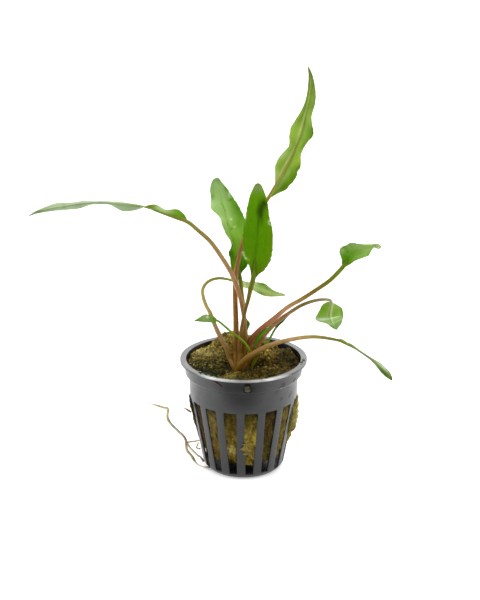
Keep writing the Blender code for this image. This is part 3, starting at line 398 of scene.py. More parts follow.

# Each leaf's looks. Tones go from base to tip, as 0 to 255 in sRGB. The front face is the one
# turned to the front at the leaf's base. "under" says which face is the underside, with the
# raised midrib. A spot is its place along the leaf from 0 to 1 and across it from -1 to 1, its
# reach along and across, its colour and its strength.
# Some spots are painted light or shade; each is named where it stands.
LOOKS = {
    "tall": {
        "front": ((122, 152, 30), (146, 180, 50), (160, 194, 74), (140, 170, 66), (108, 128, 56)),
        "back": ((84, 124, 24), (96, 140, 30), (100, 144, 34), (104, 146, 44), (112, 140, 60)),
        "rib": ((170, 142, 80), (170, 158, 92), (168, 172, 88), (160, 176, 86), (146, 160, 80)),
        "edge": (128, 112, 58),
        "under": "front",
        "ripple": 0.3,
        "stalk": ((112, 78, 16), (134, 92, 32), (140, 98, 46), (134, 94, 50), (146, 106, 60),
         (146, 126, 50), (146, 156, 54)),
        # The fifth to eighth spots, pale ones on the left of the lower part, are a painted sheen.
        "spots": ((0.11, 0.75, 0.05, 0.4, (82, 126, 4), 0.9), (0.19, 0.95, 0.06, 0.42, (84, 134, 6), 0.95),
         (0.28, 0.95, 0.04, 0.22, (82, 128, 10), 0.85), (0.17, 0.32, 0.12, 0.16, (156, 184, 96), 0.75),
         (0.17, -0.6, 0.05, 0.5, (168, 194, 100), 0.85), (0.24, -0.6, 0.05, 0.5, (134, 168, 54), 0.6),
         (0.31, -0.85, 0.05, 0.45, (176, 200, 124), 0.85), (0.37, -0.6, 0.05, 0.4, (152, 184, 92), 0.6),
         (0.535, 0.92, 0.06, 0.2, (62, 104, 8), 0.9), (0.52, 0.6, 0.05, 0.35, (98, 146, 14), 0.75), (0.43,
         0.8, 0.05, 0.2, (96, 138, 34), 0.7), (0.5, -0.13, 0.45, 0.08, (176, 196, 124), 0.75), (0.5, 0.13,
         0.4, 0.09, (98, 128, 22), 0.7), (0.66, -0.5, 0.12, 0.18, (100, 142, 22), 0.65), (0.6, 0.4, 0.12,
         0.2, (154, 184, 92), 0.5), (0.9, 0.4, 0.1, 0.5, (116, 144, 60), 0.5), (0.985, 0.0, 0.025, 1.5,
         (72, 58, 38), 0.9)),
    },
    "back": {
        "front": ((87, 137, 7), (106, 163, 18), (143, 194, 62), (173, 214, 114), (161, 198, 115),
         (137, 171, 98)),
        "back": ((150, 170, 96), (160, 184, 118), (166, 188, 128), (160, 182, 126), (150, 170, 118)),
        "rib": ((84, 126, 10), (120, 160, 50), (140, 176, 84)),
        "edge": (112, 130, 56),
        "under": "back",
        "ripple": 0.3,
        "stalk": ((110, 80, 14), (130, 98, 34), (132, 108, 50), (126, 107, 48), (97, 106, 16), (76, 110, 7)),
        # The seventh, eighth, fifteenth and sixteenth spots, small and near-white, are painted glints.
        "spots": ((0.97, 0.0, 0.03, 1.0, (118, 146, 84), 0.6), (0.93, -0.4, 0.05, 0.6, (156, 188, 120),
         0.7), (0.76, -0.8, 0.045, 0.4, (182, 212, 142), 0.95), (0.835, -0.9, 0.03, 0.25, (112, 150, 52),
         0.8), (0.88, 0.95, 0.035, 0.28, (84, 134, 2), 0.95), (0.765, 0.75, 0.012, 0.24, (84, 136, 6),
         0.95), (0.815, 0.85, 0.014, 0.12, (234, 240, 216), 0.95), (0.79, 0.72, 0.012, 0.1, (226, 236, 204),
         0.95), (0.745, -0.06, 0.014, 0.035, (92, 142, 14), 0.9), (0.715, 0.02, 0.018, 0.035, (92, 142, 14),
         0.9), (0.68, 0.07, 0.014, 0.035, (96, 146, 20), 0.8), (0.6, 0.95, 0.14, 0.45, (86, 142, 2), 0.95),
         (0.72, 0.85, 0.12, 0.4, (92, 148, 10), 0.85), (0.52, 0.6, 0.08, 0.3, (104, 156, 20), 0.7), (0.58,
         0.25, 0.008, 0.06, (228, 238, 206), 0.95), (0.5, 0.3, 0.008, 0.06, (214, 228, 180), 0.9), (0.62,
         -0.3, 0.1, 0.35, (166, 198, 118), 0.7), (0.46, -0.85, 0.1, 0.25, (150, 184, 104), 0.8), (0.54,
         -0.1, 0.02, 0.1, (96, 144, 24), 0.7), (0.49, 0.1, 0.012, 0.08, (90, 140, 16), 0.7), (0.365, -0.9,
         0.018, 0.5, (166, 196, 130), 0.85), (0.335, -0.9, 0.012, 0.5, (86, 86, 20), 0.9), (0.28, -0.97,
         0.05, 0.1, (112, 96, 34), 0.8), (0.25, -0.6, 0.08, 0.5, (74, 120, 4), 0.9), (0.12, 0.6, 0.09, 0.6,
         (68, 114, 2), 0.9), (0.4, 0.2, 0.05, 0.3, (136, 176, 70), 0.5)),
    },
    "front": {
        "front": ((90, 112, 2), (87, 132, 1), (86, 139, 0), (87, 141, 0), (95, 149, 0), (112, 160, 10)),
        "back": ((140, 168, 88), (150, 178, 104), (152, 180, 108), (150, 176, 108), (146, 164, 108)),
        "rib": ((66, 96, 0), (60, 104, 0), (64, 108, 0), (70, 112, 4)),
        "edge": (90, 116, 20),
        "under": "back",
        "ripple": 0.2,
        "stalk": ((106, 76, 12), (120, 86, 28), (120, 86, 40), (114, 86, 36), (106, 86, 22), (104, 96, 18),
         (94, 112, 16), (78, 116, 2)),
        # The first spot is a painted sheen on the tip; the third to fifth and the last two are a painted
        # shadow across the right half and along the midrib.
        "spots": ((0.95, 0.0, 0.04, 0.9, (136, 150, 98), 0.85), (0.995, 0.0, 0.012, 2.0, (128, 112, 78),
         0.8), (0.79, 0.6, 0.05, 0.4, (36, 60, 0), 0.95), (0.71, 0.02, 0.06, 0.22, (46, 76, 0), 0.9), (0.75,
         0.3, 0.05, 0.3, (44, 72, 0), 0.8), (0.62, 0.92, 0.01, 0.1, (222, 232, 186), 0.95), (0.602, 0.8,
         0.012, 0.06, (204, 218, 150), 0.9), (0.588, 0.9, 0.008, 0.1, (214, 226, 170), 0.9), (0.28, -0.93,
         0.012, 0.1, (212, 224, 178), 0.9), (0.255, -0.85, 0.012, 0.07, (200, 214, 150), 0.85), (0.225,
         -0.78, 0.012, 0.1, (206, 220, 168), 0.9), (0.21, -0.6, 0.01, 0.08, (160, 186, 90), 0.8), (0.65,
         -0.98, 0.05, 0.08, (186, 204, 130), 0.7), (0.4, 0.85, 0.25, 0.25, (104, 146, 2), 0.6), (0.3, -0.5,
         0.15, 0.35, (92, 140, 2), 0.5), (0.05, -0.2, 0.06, 0.4, (84, 116, 6), 0.6), (0.69, 0.22, 0.1, 0.2,
         (40, 66, 0), 0.85), (0.6, 0.0, 0.12, 0.06, (50, 86, 0), 0.7)),
    },
    "long": {
        "front": ((108, 138, 33), (120, 155, 50), (147, 172, 88), (147, 156, 58), (147, 155, 65),
         (157, 173, 108), (167, 188, 138)),
        "back": ((140, 164, 102), (153, 175, 125), (166, 186, 145), (169, 189, 151), (169, 188, 151),
         (164, 182, 143), (140, 160, 110)),
        "rib": ((116, 124, 36), (124, 146, 46), (140, 158, 74), (174, 194, 150), (176, 196, 154),
         (168, 188, 142), (130, 150, 92)),
        "edge": (162, 180, 128),
        "under": "back",
        "ripple": 0.12,
        "stalk": ((112, 82, 14), (130, 96, 32), (150, 112, 66), (156, 120, 82), (146, 124, 68),
         (126, 126, 46), (98, 130, 24)),
        "spots": ((0.035, 0.95, 0.025, 0.4, (66, 120, 2), 0.95), (0.07, 0.5, 0.045, 0.8, (112, 162, 18),
         0.95), (0.15, 0.55, 0.045, 0.6, (172, 198, 122), 0.95), (0.2, 0.5, 0.03, 0.6, (180, 206, 138),
         0.85), (0.255, 0.8, 0.02, 0.4, (128, 150, 16), 0.9), (0.27, 0.3, 0.02, 0.5, (164, 158, 56), 0.85),
         (0.1, -0.3, 0.12, 0.45, (134, 146, 52), 0.8), (0.2, -0.2, 0.06, 0.4, (112, 146, 44), 0.8), (0.78,
         0.1, 0.012, 0.5, (136, 168, 106), 0.8), (0.7, 0.9, 0.1, 0.25, (164, 192, 126), 0.5), (0.41, 0.75,
         0.05, 0.4, (158, 186, 136), 0.5), (0.945, 0.0, 0.03, 2.0, (96, 116, 54), 0.85), (0.99, 0.0, 0.012,
         3.0, (56, 44, 32), 0.9)),
    },
    "looped": {
        "front": ((212, 238, 140), (226, 250, 176), (226, 250, 178), (200, 230, 138), (186, 216, 128),
         (198, 218, 156)),
        "back": ((120, 150, 60), (124, 156, 64), (126, 158, 66), (128, 158, 70), (140, 164, 90)),
        "rib": ((170, 178, 110), (172, 190, 120)),
        "edge": (160, 180, 96),
        "under": "back",
        "ripple": 0.1,
        "stalk": ((124, 90, 21), (147, 114, 63), (161, 129, 89), (170, 148, 93), (155, 146, 74),
         (134, 134, 49), (127, 155, 47)),
        "spots": ((0.62, -0.8, 0.08, 0.35, (104, 156, 38), 0.9), (0.7, -0.5, 0.05, 0.3, (124, 168, 58),
         0.7), (0.74, 0.9, 0.07, 0.25, (200, 206, 112), 0.85), (0.63, 0.7, 0.06, 0.25, (128, 172, 72), 0.7),
         (0.6, 0.25, 0.15, 0.1, (186, 206, 136), 0.7), (0.6, -0.25, 0.15, 0.1, (136, 174, 78), 0.6), (0.97,
         0.0, 0.03, 1.5, (204, 204, 118), 0.85), (0.85, -0.5, 0.06, 0.5, (160, 186, 126), 0.6)),
    },
    "small": {
        "front": ((81, 130, 6), (110, 146, 59), (128, 158, 87), (130, 158, 87), (110, 148, 65),
         (94, 130, 51)),
        "back": ((96, 130, 50), (100, 136, 54), (100, 136, 54), (96, 128, 52)),
        "rib": ((100, 140, 30), (124, 154, 76)),
        "edge": (92, 136, 44),
        "under": "back",
        "ripple": 0.1,
        "stalk": ((92, 105, 10), (109, 132, 17), (103, 134, 13), (97, 132, 4), (109, 141, 13)),
        # The first spot, near-white, is a painted reflection.
        "spots": ((0.43, 0.5, 0.05, 0.2, (228, 238, 204), 0.95), (0.08, 0.5, 0.1, 0.8, (78, 128, 2), 0.9),
         (0.3, -0.7, 0.1, 0.4, (138, 176, 84), 0.7), (0.55, 0.2, 0.15, 0.3, (140, 168, 102), 0.5)),
    },
    "upper": {
        "front": ((101, 130, 7), (92, 150, 11), (121, 165, 53), (140, 177, 83), (144, 179, 93),
         (159, 182, 123)),
        "back": ((84, 122, 30), (90, 130, 40), (96, 134, 46), (110, 144, 62), (140, 164, 104)),
        "rib": ((92, 130, 10), (116, 154, 50), (140, 166, 92)),
        "edge": (124, 136, 76),
        "under": "back",
        "ripple": 0.3,
        "stalk": ((114, 80, 14), (119, 74, 24), (144, 92, 54), (166, 114, 76), (176, 134, 94),
         (142, 114, 48), (112, 100, 22), (104, 116, 16), (94, 132, 8)),
        "spots": ((0.19, 0.05, 0.07, 0.5, (70, 134, 2), 0.95), (0.1, -0.1, 0.06, 0.8, (86, 136, 8), 0.85),
         (0.33, 0.05, 0.08, 0.3, (98, 148, 26), 0.7), (0.24, -0.85, 0.04, 0.3, (154, 180, 100), 0.85),
         (0.29, -0.4, 0.02, 0.14, (78, 106, 20), 0.8), (0.31, -0.75, 0.02, 0.2, (90, 110, 40), 0.6), (0.46,
         -0.7, 0.14, 0.35, (150, 176, 110), 0.75), (0.6, 0.1, 0.1, 0.2, (150, 178, 108), 0.5), (0.5, 0.3,
         0.08, 0.12, (104, 146, 48), 0.5), (0.66, 0.9, 0.035, 0.25, (132, 172, 48), 0.85), (0.3, 0.8, 0.1,
         0.3, (128, 160, 84), 0.6), (0.95, 0.2, 0.05, 1.5, (190, 212, 146), 0.9), (0.88, -0.8, 0.03, 0.4,
         (108, 126, 80), 0.7)),
    },
    "hanging": {
        "front": ((136, 168, 80), (133, 170, 66), (131, 170, 68), (160, 190, 116), (130, 164, 90),
         (114, 150, 76)),
        "back": ((96, 138, 40), (98, 140, 42), (100, 142, 44), (110, 150, 60), (104, 142, 60)),
        "rib": ((190, 188, 140), (184, 198, 136), (164, 192, 124), (122, 158, 84)),
        "edge": (106, 142, 54),
        "under": "front",
        "ripple": 0.2,
        "stalk": ((114, 82, 16), (121, 87, 26), (147, 103, 62), (176, 134, 96), (162, 132, 88),
         (122, 108, 50), (136, 130, 84), (184, 188, 144)),
        # The fifth spot, a pale band across the blade, is a painted highlight along its fold.
        "spots": ((0.28, 0.75, 0.14, 0.35, (116, 160, 28), 0.85), (0.2, 0.4, 0.1, 0.3, (124, 166, 50), 0.6),
         (0.3, -0.97, 0.2, 0.12, (80, 128, 22), 0.9), (0.62, -0.95, 0.12, 0.14, (84, 128, 34), 0.8), (0.5,
         0.0, 0.028, 6.0, (210, 230, 186), 0.95), (0.24, 0.24, 0.26, 0.05, (168, 180, 118), 0.8), (0.24,
         0.1, 0.26, 0.05, (112, 146, 50), 0.6), (0.64, 0.85, 0.018, 0.3, (184, 204, 150), 0.8), (0.69, 0.3,
         0.018, 0.3, (178, 200, 140), 0.75), (0.73, -0.2, 0.018, 0.3, (176, 198, 138), 0.75), (0.76, -0.7,
         0.02, 0.3, (172, 196, 132), 0.75), (0.85, 0.3, 0.05, 0.5, (98, 136, 54), 0.6)),
    },
    "low": {
        "front": ((120, 132, 52), (112, 124, 52), (98, 112, 50), (104, 116, 70), (104, 118, 74),
         (66, 90, 32), (54, 74, 18)),
        "back": ((90, 99, 22), (98, 115, 36), (108, 130, 70), (109, 126, 72), (71, 99, 20)),
        "rib": ((110, 118, 24), (120, 134, 56), (116, 140, 60), (96, 124, 40)),
        "edge": (110, 128, 54),
        "under": "back",
        "ripple": 0.12,
        "stalk": ((97, 67, 8), (120, 86, 24), (144, 110, 60), (162, 130, 78), (176, 146, 92),
         (146, 130, 62), (106, 110, 30), (100, 110, 26)),
        "spots": ((0.07, -0.4, 0.06, 0.9, (154, 168, 80), 0.85), (0.3, 0.0, 0.1, 1.5, (124, 142, 66), 0.5),
         (0.78, -0.6, 0.14, 0.5, (170, 186, 142), 0.9), (0.84, 0.6, 0.14, 0.6, (62, 94, 18), 0.95), (0.93,
         0.0, 0.05, 0.5, (92, 130, 34), 0.7), (0.985, 0.0, 0.02, 2.0, (60, 48, 22), 0.9)),
    },
    "young": {
        "front": ((97, 113, 6), (74, 128, 2), (78, 143, 2), (92, 153, 15), (122, 164, 57)),
        "back": ((84, 120, 10), (80, 130, 10), (76, 128, 10), (78, 124, 14)),
        "rib": ((74, 118, 4), (80, 132, 6)),
        "edge": (48, 78, 2),
        "under": "back",
        "ripple": 0.06,
        "stalk": ((116, 98, 8), (112, 102, 10), (92, 92, 8), (78, 94, 6), (78, 110, 4)),
        "spots": ((0.5, -0.95, 0.6, 0.2, (46, 74, 2), 0.8), (0.7, 0.4, 0.3, 0.4, (116, 158, 44), 0.7)),
    },
    "thin": {
        "front": ((66, 106, 8), (54, 94, 6), (44, 84, 6), (36, 64, 12)),
        "back": ((70, 96, 14), (58, 90, 10), (56, 86, 10), (60, 84, 16)),
        "rib": ((70, 110, 10), (52, 92, 8)),
        "edge": (40, 66, 8),
        "under": "back",
        "ripple": 0.05,
        "stalk": ((128, 139, 44), (127, 152, 32), (98, 145, 14), (77, 125, 10)),
        "spots": (),
    },
    "tiny": {
        "front": ((88, 124, 14), (84, 130, 6), (78, 124, 4), (70, 110, 6)),
        "back": ((70, 110, 14), (64, 112, 10), (60, 106, 8), (66, 104, 14)),
        "rib": ((70, 106, 6), (66, 110, 4)),
        "edge": (50, 80, 6),
        "under": "back",
        "ripple": 0.05,
        "stalk": ((106, 98, 22), (108, 100, 30), (112, 110, 40), (92, 112, 20)),
        "spots": (),
    },
}

# Lowest part of each stalk, where it grows out of the crown: places and radii
STALK_FEET = {
    "tall": ((-2.2, -4.8, 45.6, 1.5), (-2.8, -4.0, 47.5, 1.6), (-3.3, -2.7, 51.4, 1.35)),
    "back": ((-0.8, -3.6, 45.6, 1.3), (-0.4, -3.0, 47.5, 1.4), (0.3, -1.2, 51.0, 1.25)),
    "front": ((-1.7, -5.4, 45.6, 1.3), (-1.7, -5.0, 47.3, 1.45), (-1.3, -4.2, 51.6, 1.3)),
    "long": ((-1.0, -4.6, 45.6, 1.2), (-0.8, -4.0, 47.5, 1.3), (0.1, -2.6, 51.0, 1.15)),
    "looped": ((-2.8, -5.0, 45.6, 1.1), (-4.2, -4.4, 47.7, 1.15), (-5.4, -3.3, 49.5, 1.0)),
    "small": ((2.4, -5.4, 50.6, 0.4),),
    "upper": ((-0.6, -4.8, 45.6, 1.3), (0.2, -4.0, 47.6, 1.5), (1.6, -2.4, 51.4, 1.4)),
    "hanging": ((-0.4, -3.6, 45.6, 1.0), (1.6, -2.8, 48.6, 1.1), (3.6, -1.2, 51.6, 1.0)),
    "low": ((-2.9, -6.2, 45.4, 1.2),),
    "young": ((3.3, -4.0, 45.9, 0.3), (3.7, -4.0, 47.3, 0.62), (4.7, -4.0, 49.8, 0.82),
     (5.8, -4.0, 52.1, 0.66)),
    "thin": (),
    "tiny": ((-0.6, -1.6, 47.6, 0.5),),
}

# Each root: its route from the pot to its far end, its radii and its colours along it
ROOTS = {
    "root_main": (((-14.8, -8.6, 1.7), (-17.3, -6.7, 0.8), (-19.6, -6.1, 1.4), (-21.1, -5.6, 2.6),
     (-22.6, -5.2, 5.1), (-24.7, -4.7, 7.8), (-25.1, -4.5, 9.9), (-25.3, -4.5, 12.8), (-26.5, -4.5, 14.9),
     (-29.0, -4.7, 17.6), (-31.9, -5.1, 21.2), (-33.0, -5.2, 23.6), (-33.0, -5.2, 25.8),
     (-32.8, -5.2, 27.4), (-33.2, -5.2, 28.4), (-34.5, -5.3, 28.6), (-37.9, -5.6, 29.9),
     (-40.5, -5.8, 30.6), (-42.5, -5.9, 30.5)),
     (0.5, 0.22, 0.5, 0.6, 0.56, 0.58, 0.55, 0.58, 0.52, 0.4, 0.2), ((104, 70, 40), (226, 214, 196),
     (160, 150, 112), (176, 168, 134), (140, 116, 84), (188, 182, 156), (178, 172, 140), (170, 162, 116),
     (192, 184, 132), (212, 206, 166), (226, 220, 196))),
    "root_low": (((-25.2, -4.5, 12.4), (-24.5, -4.5, 11.1), (-23.7, -4.7, 9.5), (-22.4, -5.2, 8.2),
     (-19.9, -6.1, 6.0), (-18.8, -6.5, 5.5), (-17.4, -7.1, 3.6)), (0.38, 0.42, 0.4, 0.42), ((176, 166, 130),
     (184, 172, 140), (170, 158, 118), (110, 76, 44))),
    "root_level": (((-25.3, -4.3, 11.6), (-21.7, -3.3, 11.6), (-19.3, -3.2, 12.1)), (0.36, 0.32),
     ((206, 176, 132), (210, 190, 156))),
    "root_kinked": (((-19.8, -2.8, 10.8), (-20.3, -2.8, 9.5), (-20.7, -2.8, 8.4), (-19.8, -2.8, 7.9),
     (-18.9, -2.8, 7.7)), (0.3, 0.32), ((198, 184, 130), (194, 172, 116))),
    "root_stub": (((-26.3, -2.9, 27.6), (-24.7, -2.9, 26.7), (-22.9, -2.9, 25.4)), (0.2, 0.38, 0.42),
     ((206, 176, 160), (152, 78, 50), (120, 58, 42))),
}


# Shared helpers

def linear(colour):
    """A colour of 0 to 255 in sRGB as linear light."""
    made = []
    for part in colour:
        share = part / 255.0
        made.append(share / 12.92 if share <= 0.04045 else ((share + 0.055) / 1.055) ** 2.4)
    return Vector(made)


def between(values, share):
    """Smooth value of a list of numbers or vectors at a share of its length, from 0 to 1."""
    place = min(max(share, 0.0), 1.0) * (len(values) - 1)
    index = min(int(place), len(values) - 2)
    t = place - index
    before = values[max(index - 1, 0)]
    start = values[index]
    end = values[index + 1]
    after = values[min(index + 2, len(values) - 1)]
    rise = (end - before) * 0.5
    fall = (after - start) * 0.5
    square = t * t
    cube = square * t
    near = start * (2 * cube - 3 * square + 1) + rise * (cube - 2 * square + t)
    far = end * (3 * square - 2 * cube) + fall * (cube - square)
    return near + far


def straight(values, share):
    """Value of a list at a share of its length, on straight lines between its entries."""
    place = min(max(share, 0.0), 1.0) * (len(values) - 1)
    index = min(int(place), len(values) - 2)
    return values[index] + (values[index + 1] - values[index]) * (place - index)


def smooth_step(low, high, value):
    share = min(max((value - low) / (high - low), 0.0), 1.0)
    return share * share * (3 - 2 * share)


def even_route(points, count):
    """Points at even distances along a smooth curve through the given points."""
    corners = [Vector(p) for p in points]
    fine = [between(corners, i / 400) for i in range(401)]
    lengths = [0.0]
    for a, b in zip(fine, fine[1:]):
        lengths.append(lengths[-1] + (b - a).length)
    route = []
    index = 0
    for step in range(count):
        wanted = lengths[-1] * step / (count - 1)
        while index < len(fine) - 2 and lengths[index + 1] < wanted:
            index += 1
        span = max(lengths[index + 1] - lengths[index], 1e-9)
        route.append(fine[index].lerp(fine[index + 1], (wanted - lengths[index]) / span))
    return route


def rough(place, size, octaves=4):
    """Fractal noise about 0 at a place in millimetres, with grains of the given size."""
    return noise.fractal(place / size, 0.9, 2.1, octaves)


def plain_object(name, mesh):
    made = bpy.data.objects.new(name, mesh)
    bpy.context.scene.collection.objects.link(made)
    return made


def mesh_of(name, points, faces, edges=()):
    mesh = bpy.data.meshes.new(name)
    mesh.from_pydata([p * MM for p in points], edges, faces)
    mesh.update()
    return mesh


def add_values(mesh, name, kind, key, values):
    """Store one value for each point of a mesh."""
    layer = mesh.attributes.new(name, kind, "POINT")
    flat = []
    for value in values:
        flat.extend(value) if key != "value" else flat.append(value)
    layer.data.foreach_set(key, flat)


def add_tints(mesh, colours):
    add_values(mesh, "tint", "FLOAT_COLOR", "color", [(*c, 1.0) for c in colours])


def frozen(obj):
    """Make what an object's modifiers give its own plain mesh."""
    graph = bpy.context.evaluated_depsgraph_get()
    mesh = bpy.data.meshes.new_from_object(obj.evaluated_get(graph), depsgraph=graph)
    old = obj.data
    obj.modifiers.clear()
    obj.data = mesh
    bpy.data.meshes.remove(old)
    return obj


def hand_over(piece, nodes=()):
    """Tie a finished piece to the frame."""
    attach(piece, "root")
    if nodes:
        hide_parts(*nodes)


# Node trees

def put(tree, kind, feeds=None, **settings):
    """Add a node, set it up, and feed its inputs with values or other nodes' outputs."""
    node = tree.nodes.new(kind)
    for key, value in settings.items():
        setattr(node, key, value)
    for key, value in (feeds or {}).items():
        socket = node.inputs[key]
        if isinstance(value, bpy.types.NodeSocket):
            tree.links.new(value, socket)
        else:
            socket.default_value = value
    return node


def arrange(tree):
    """Lay a tree's nodes out from left to right, by how far they are from its end."""
    depth = {node: 0 for node in tree.nodes}
    for _ in range(len(tree.nodes)):
        for link in tree.links:
            depth[link.from_node] = max(depth[link.from_node], depth[link.to_node] + 1)
    filled = {}
    for node, column in depth.items():
        row = filled.get(column, 0)
        node.location = (-220.0 * column, -200.0 * row)
        filled[column] = row + 1


def math_of(tree, operation, a, b=0.0):
    return put(tree, "ShaderNodeMath", {0: a, 1: b}, operation=operation).outputs[0]


def ranged(tree, value, low, high, start=0.0, end=1.0):
    feeds = {"Value": value, "From Min": low, "From Max": high, "To Min": start, "To Max": end}
    return put(tree, "ShaderNodeMapRange", feeds).outputs["Result"]


def mixed(tree, share, a, b, blend="MIX"):
    feeds = {0: share}
    for key, colour in ((6, a), (7, b)):
        feeds[key] = colour if isinstance(colour, bpy.types.NodeSocket) else (*colour, 1.0)
    return put(tree, "ShaderNodeMix", feeds, data_type="RGBA", blend_type=blend).outputs[2]


def stretched(tree, coords, scale, turn=(0.0, 0.0, 0.0), location=(0.0, 0.0, 0.0)):
    feeds = {"Vector": coords, "Scale": scale, "Rotation": turn, "Location": location}
    return put(tree, "ShaderNodeMapping", feeds).outputs["Vector"]


def noisy(tree, coords, scale, detail=4.0, roughness=0.6, distortion=0.0):
    feeds = {"Vector": coords, "Scale": scale, "Detail": detail, "Roughness": roughness,
             "Distortion": distortion}
    return put(tree, "ShaderNodeTexNoise", feeds).outputs["Fac"]


def bumped(tree, height, strength, distance, normal=None):
    feeds = {"Height": height, "Strength": strength, "Distance": distance}
    if normal is not None:
        feeds["Normal"] = normal
    return put(tree, "ShaderNodeBump", feeds).outputs["Normal"]


def attribute(tree, name, output="Color"):
    return put(tree, "ShaderNodeAttribute", attribute_name=name).outputs[output]


def new_finish(name, **fixed):
    """A material with fixed values set straight on its shader."""
    made = bpy.data.materials.get(name)
    if made is not None:
        return made, None, None
    made = bpy.data.materials.new(name)
    made.use_nodes = True
    tree = made.node_tree
    shader = tree.nodes["Principled BSDF"]
    for key, value in fixed.items():
        shader.inputs[key.replace("_", " ")].default_value = value
    return made, tree, shader


def feed(tree, shader, **sockets):
    for key, socket in sockets.items():
        tree.links.new(socket, shader.inputs[key.replace("_", " ")])
    arrange(tree)


def near_to(tree, coords, place, reach, core):
    """1 within a share of the reach from a place in millimetres, and 0 beyond the reach."""
    gap = put(tree, "ShaderNodeVectorMath", {0: coords, 1: [c * MM for c in place]},
              operation="DISTANCE").outputs["Value"]
    return ranged(tree, gap, reach * MM, reach * MM * core)


def plastic_finish(settings):
    """Satin grey moulded plastic, with a film of dust, faint scuffs, a few scratched places, dents and
    chips, painted shade in the dimple and under the lip, and a painted highlight along the front of the
    lip's top.
    """
    made, tree, shader = new_finish("moulded_grey_plastic", Specular_IOR_Level=0.45)
    if tree is None:
        return made
    coords = put(tree, "ShaderNodeTexCoord").outputs["Object"]
    base = tuple(settings.plastic)
    cloudy = noisy(tree, coords, 90.0, 5.0)
    fine = noisy(tree, coords, 1400.0, 3.0)
    shade = mixed(tree, ranged(tree, cloudy, 0.3, 0.7), [c * 0.86 for c in base],
                  [c * 1.16 for c in base])
    dust = ranged(tree, noisy(tree, coords, 420.0, 6.0, 0.7), 0.56, 0.75)
    shade = mixed(tree, math_of(tree, "MULTIPLY", dust, 0.05), shade, tuple(settings.dust))
    marked = None
    for place, reach in PLASTIC_MARKS:
        near = near_to(tree, coords, place, reach, 0.35)
        marked = near if marked is None else math_of(tree, "MAXIMUM", marked, near)
    scuffs = None
    for turn, scale in ((0.6, (1500.0, 160.0, 160.0)), (-0.9, (190.0, 190.0, 1700.0))):
        lines = noisy(tree, stretched(tree, coords, scale, (turn, turn * 0.7, turn)), 1.0, 2.0)
        lines = ranged(tree, lines, 0.58, 0.66)
        scuffs = lines if scuffs is None else math_of(tree, "MAXIMUM", scuffs, lines)
    everywhere = ranged(tree, noisy(tree, coords, 160.0, 2.0), 0.58, 0.7, 0.0, 0.12)
    scuffs = math_of(tree, "MULTIPLY", scuffs, math_of(tree, "MAXIMUM", marked, everywhere))
    shade = mixed(tree, math_of(tree, "MULTIPLY", scuffs, 0.5), shade, (0.005, 0.005, 0.005))
    flat = stretched(tree, coords, (1.0, 1.0, 0.0))
    out = put(tree, "ShaderNodeVectorMath", {0: flat}, operation="LENGTH").outputs["Value"]
    apart = put(tree, "ShaderNodeSeparateXYZ", {0: coords}).outputs
    # Painted highlight: the front of the lip's top is made light grey.
    front_lip_highlight = math_of(tree, "MULTIPLY", ranged(tree, out, 0.0252, 0.0259),
                   ranged(tree, apart[1], -0.0185, -0.024))
    front_lip_highlight = math_of(tree, "MULTIPLY", front_lip_highlight, ranged(tree, apart[2], 0.0493, 0.0496))
    shade = mixed(tree, math_of(tree, "MULTIPLY", front_lip_highlight, ranged(tree, cloudy, 0.3, 0.55, 0.4, 1.0)),
                  shade, (0.68, 0.68, 0.66))
    # Painted shade and marks: the painted shade and the dark dents also take away gloss.
    dull = None
    for place, reach, grey, strength in PAINTED_SHADE_AND_DENTS:
        near = math_of(tree, "MULTIPLY", near_to(tree, coords, place, reach, 0.5), strength)
        shade = mixed(tree, near, shade, (grey, grey, grey))
        if grey == 0.0:
            dull = near if dull is None else math_of(tree, "MAXIMUM", dull, near)
    gleam = ranged(tree, dull, 0.0, 1.0, 0.45, 0.02)
    height = math_of(tree, "ADD", math_of(tree, "MULTIPLY", fine, 0.25), cloudy)
    normal = bumped(tree, height, 0.1, 0.0002)
    normal = bumped(tree, scuffs, -0.5, 0.0001, normal)
    gloss = ranged(tree, math_of(tree, "ADD", cloudy, math_of(tree, "MULTIPLY", dust, 0.3)),
                   0.3, 0.9, 0.26, 0.42)
    feed(tree, shader, Base_Color=shade, Roughness=gloss, Normal=normal,
         Specular_IOR_Level=gleam)
    return made


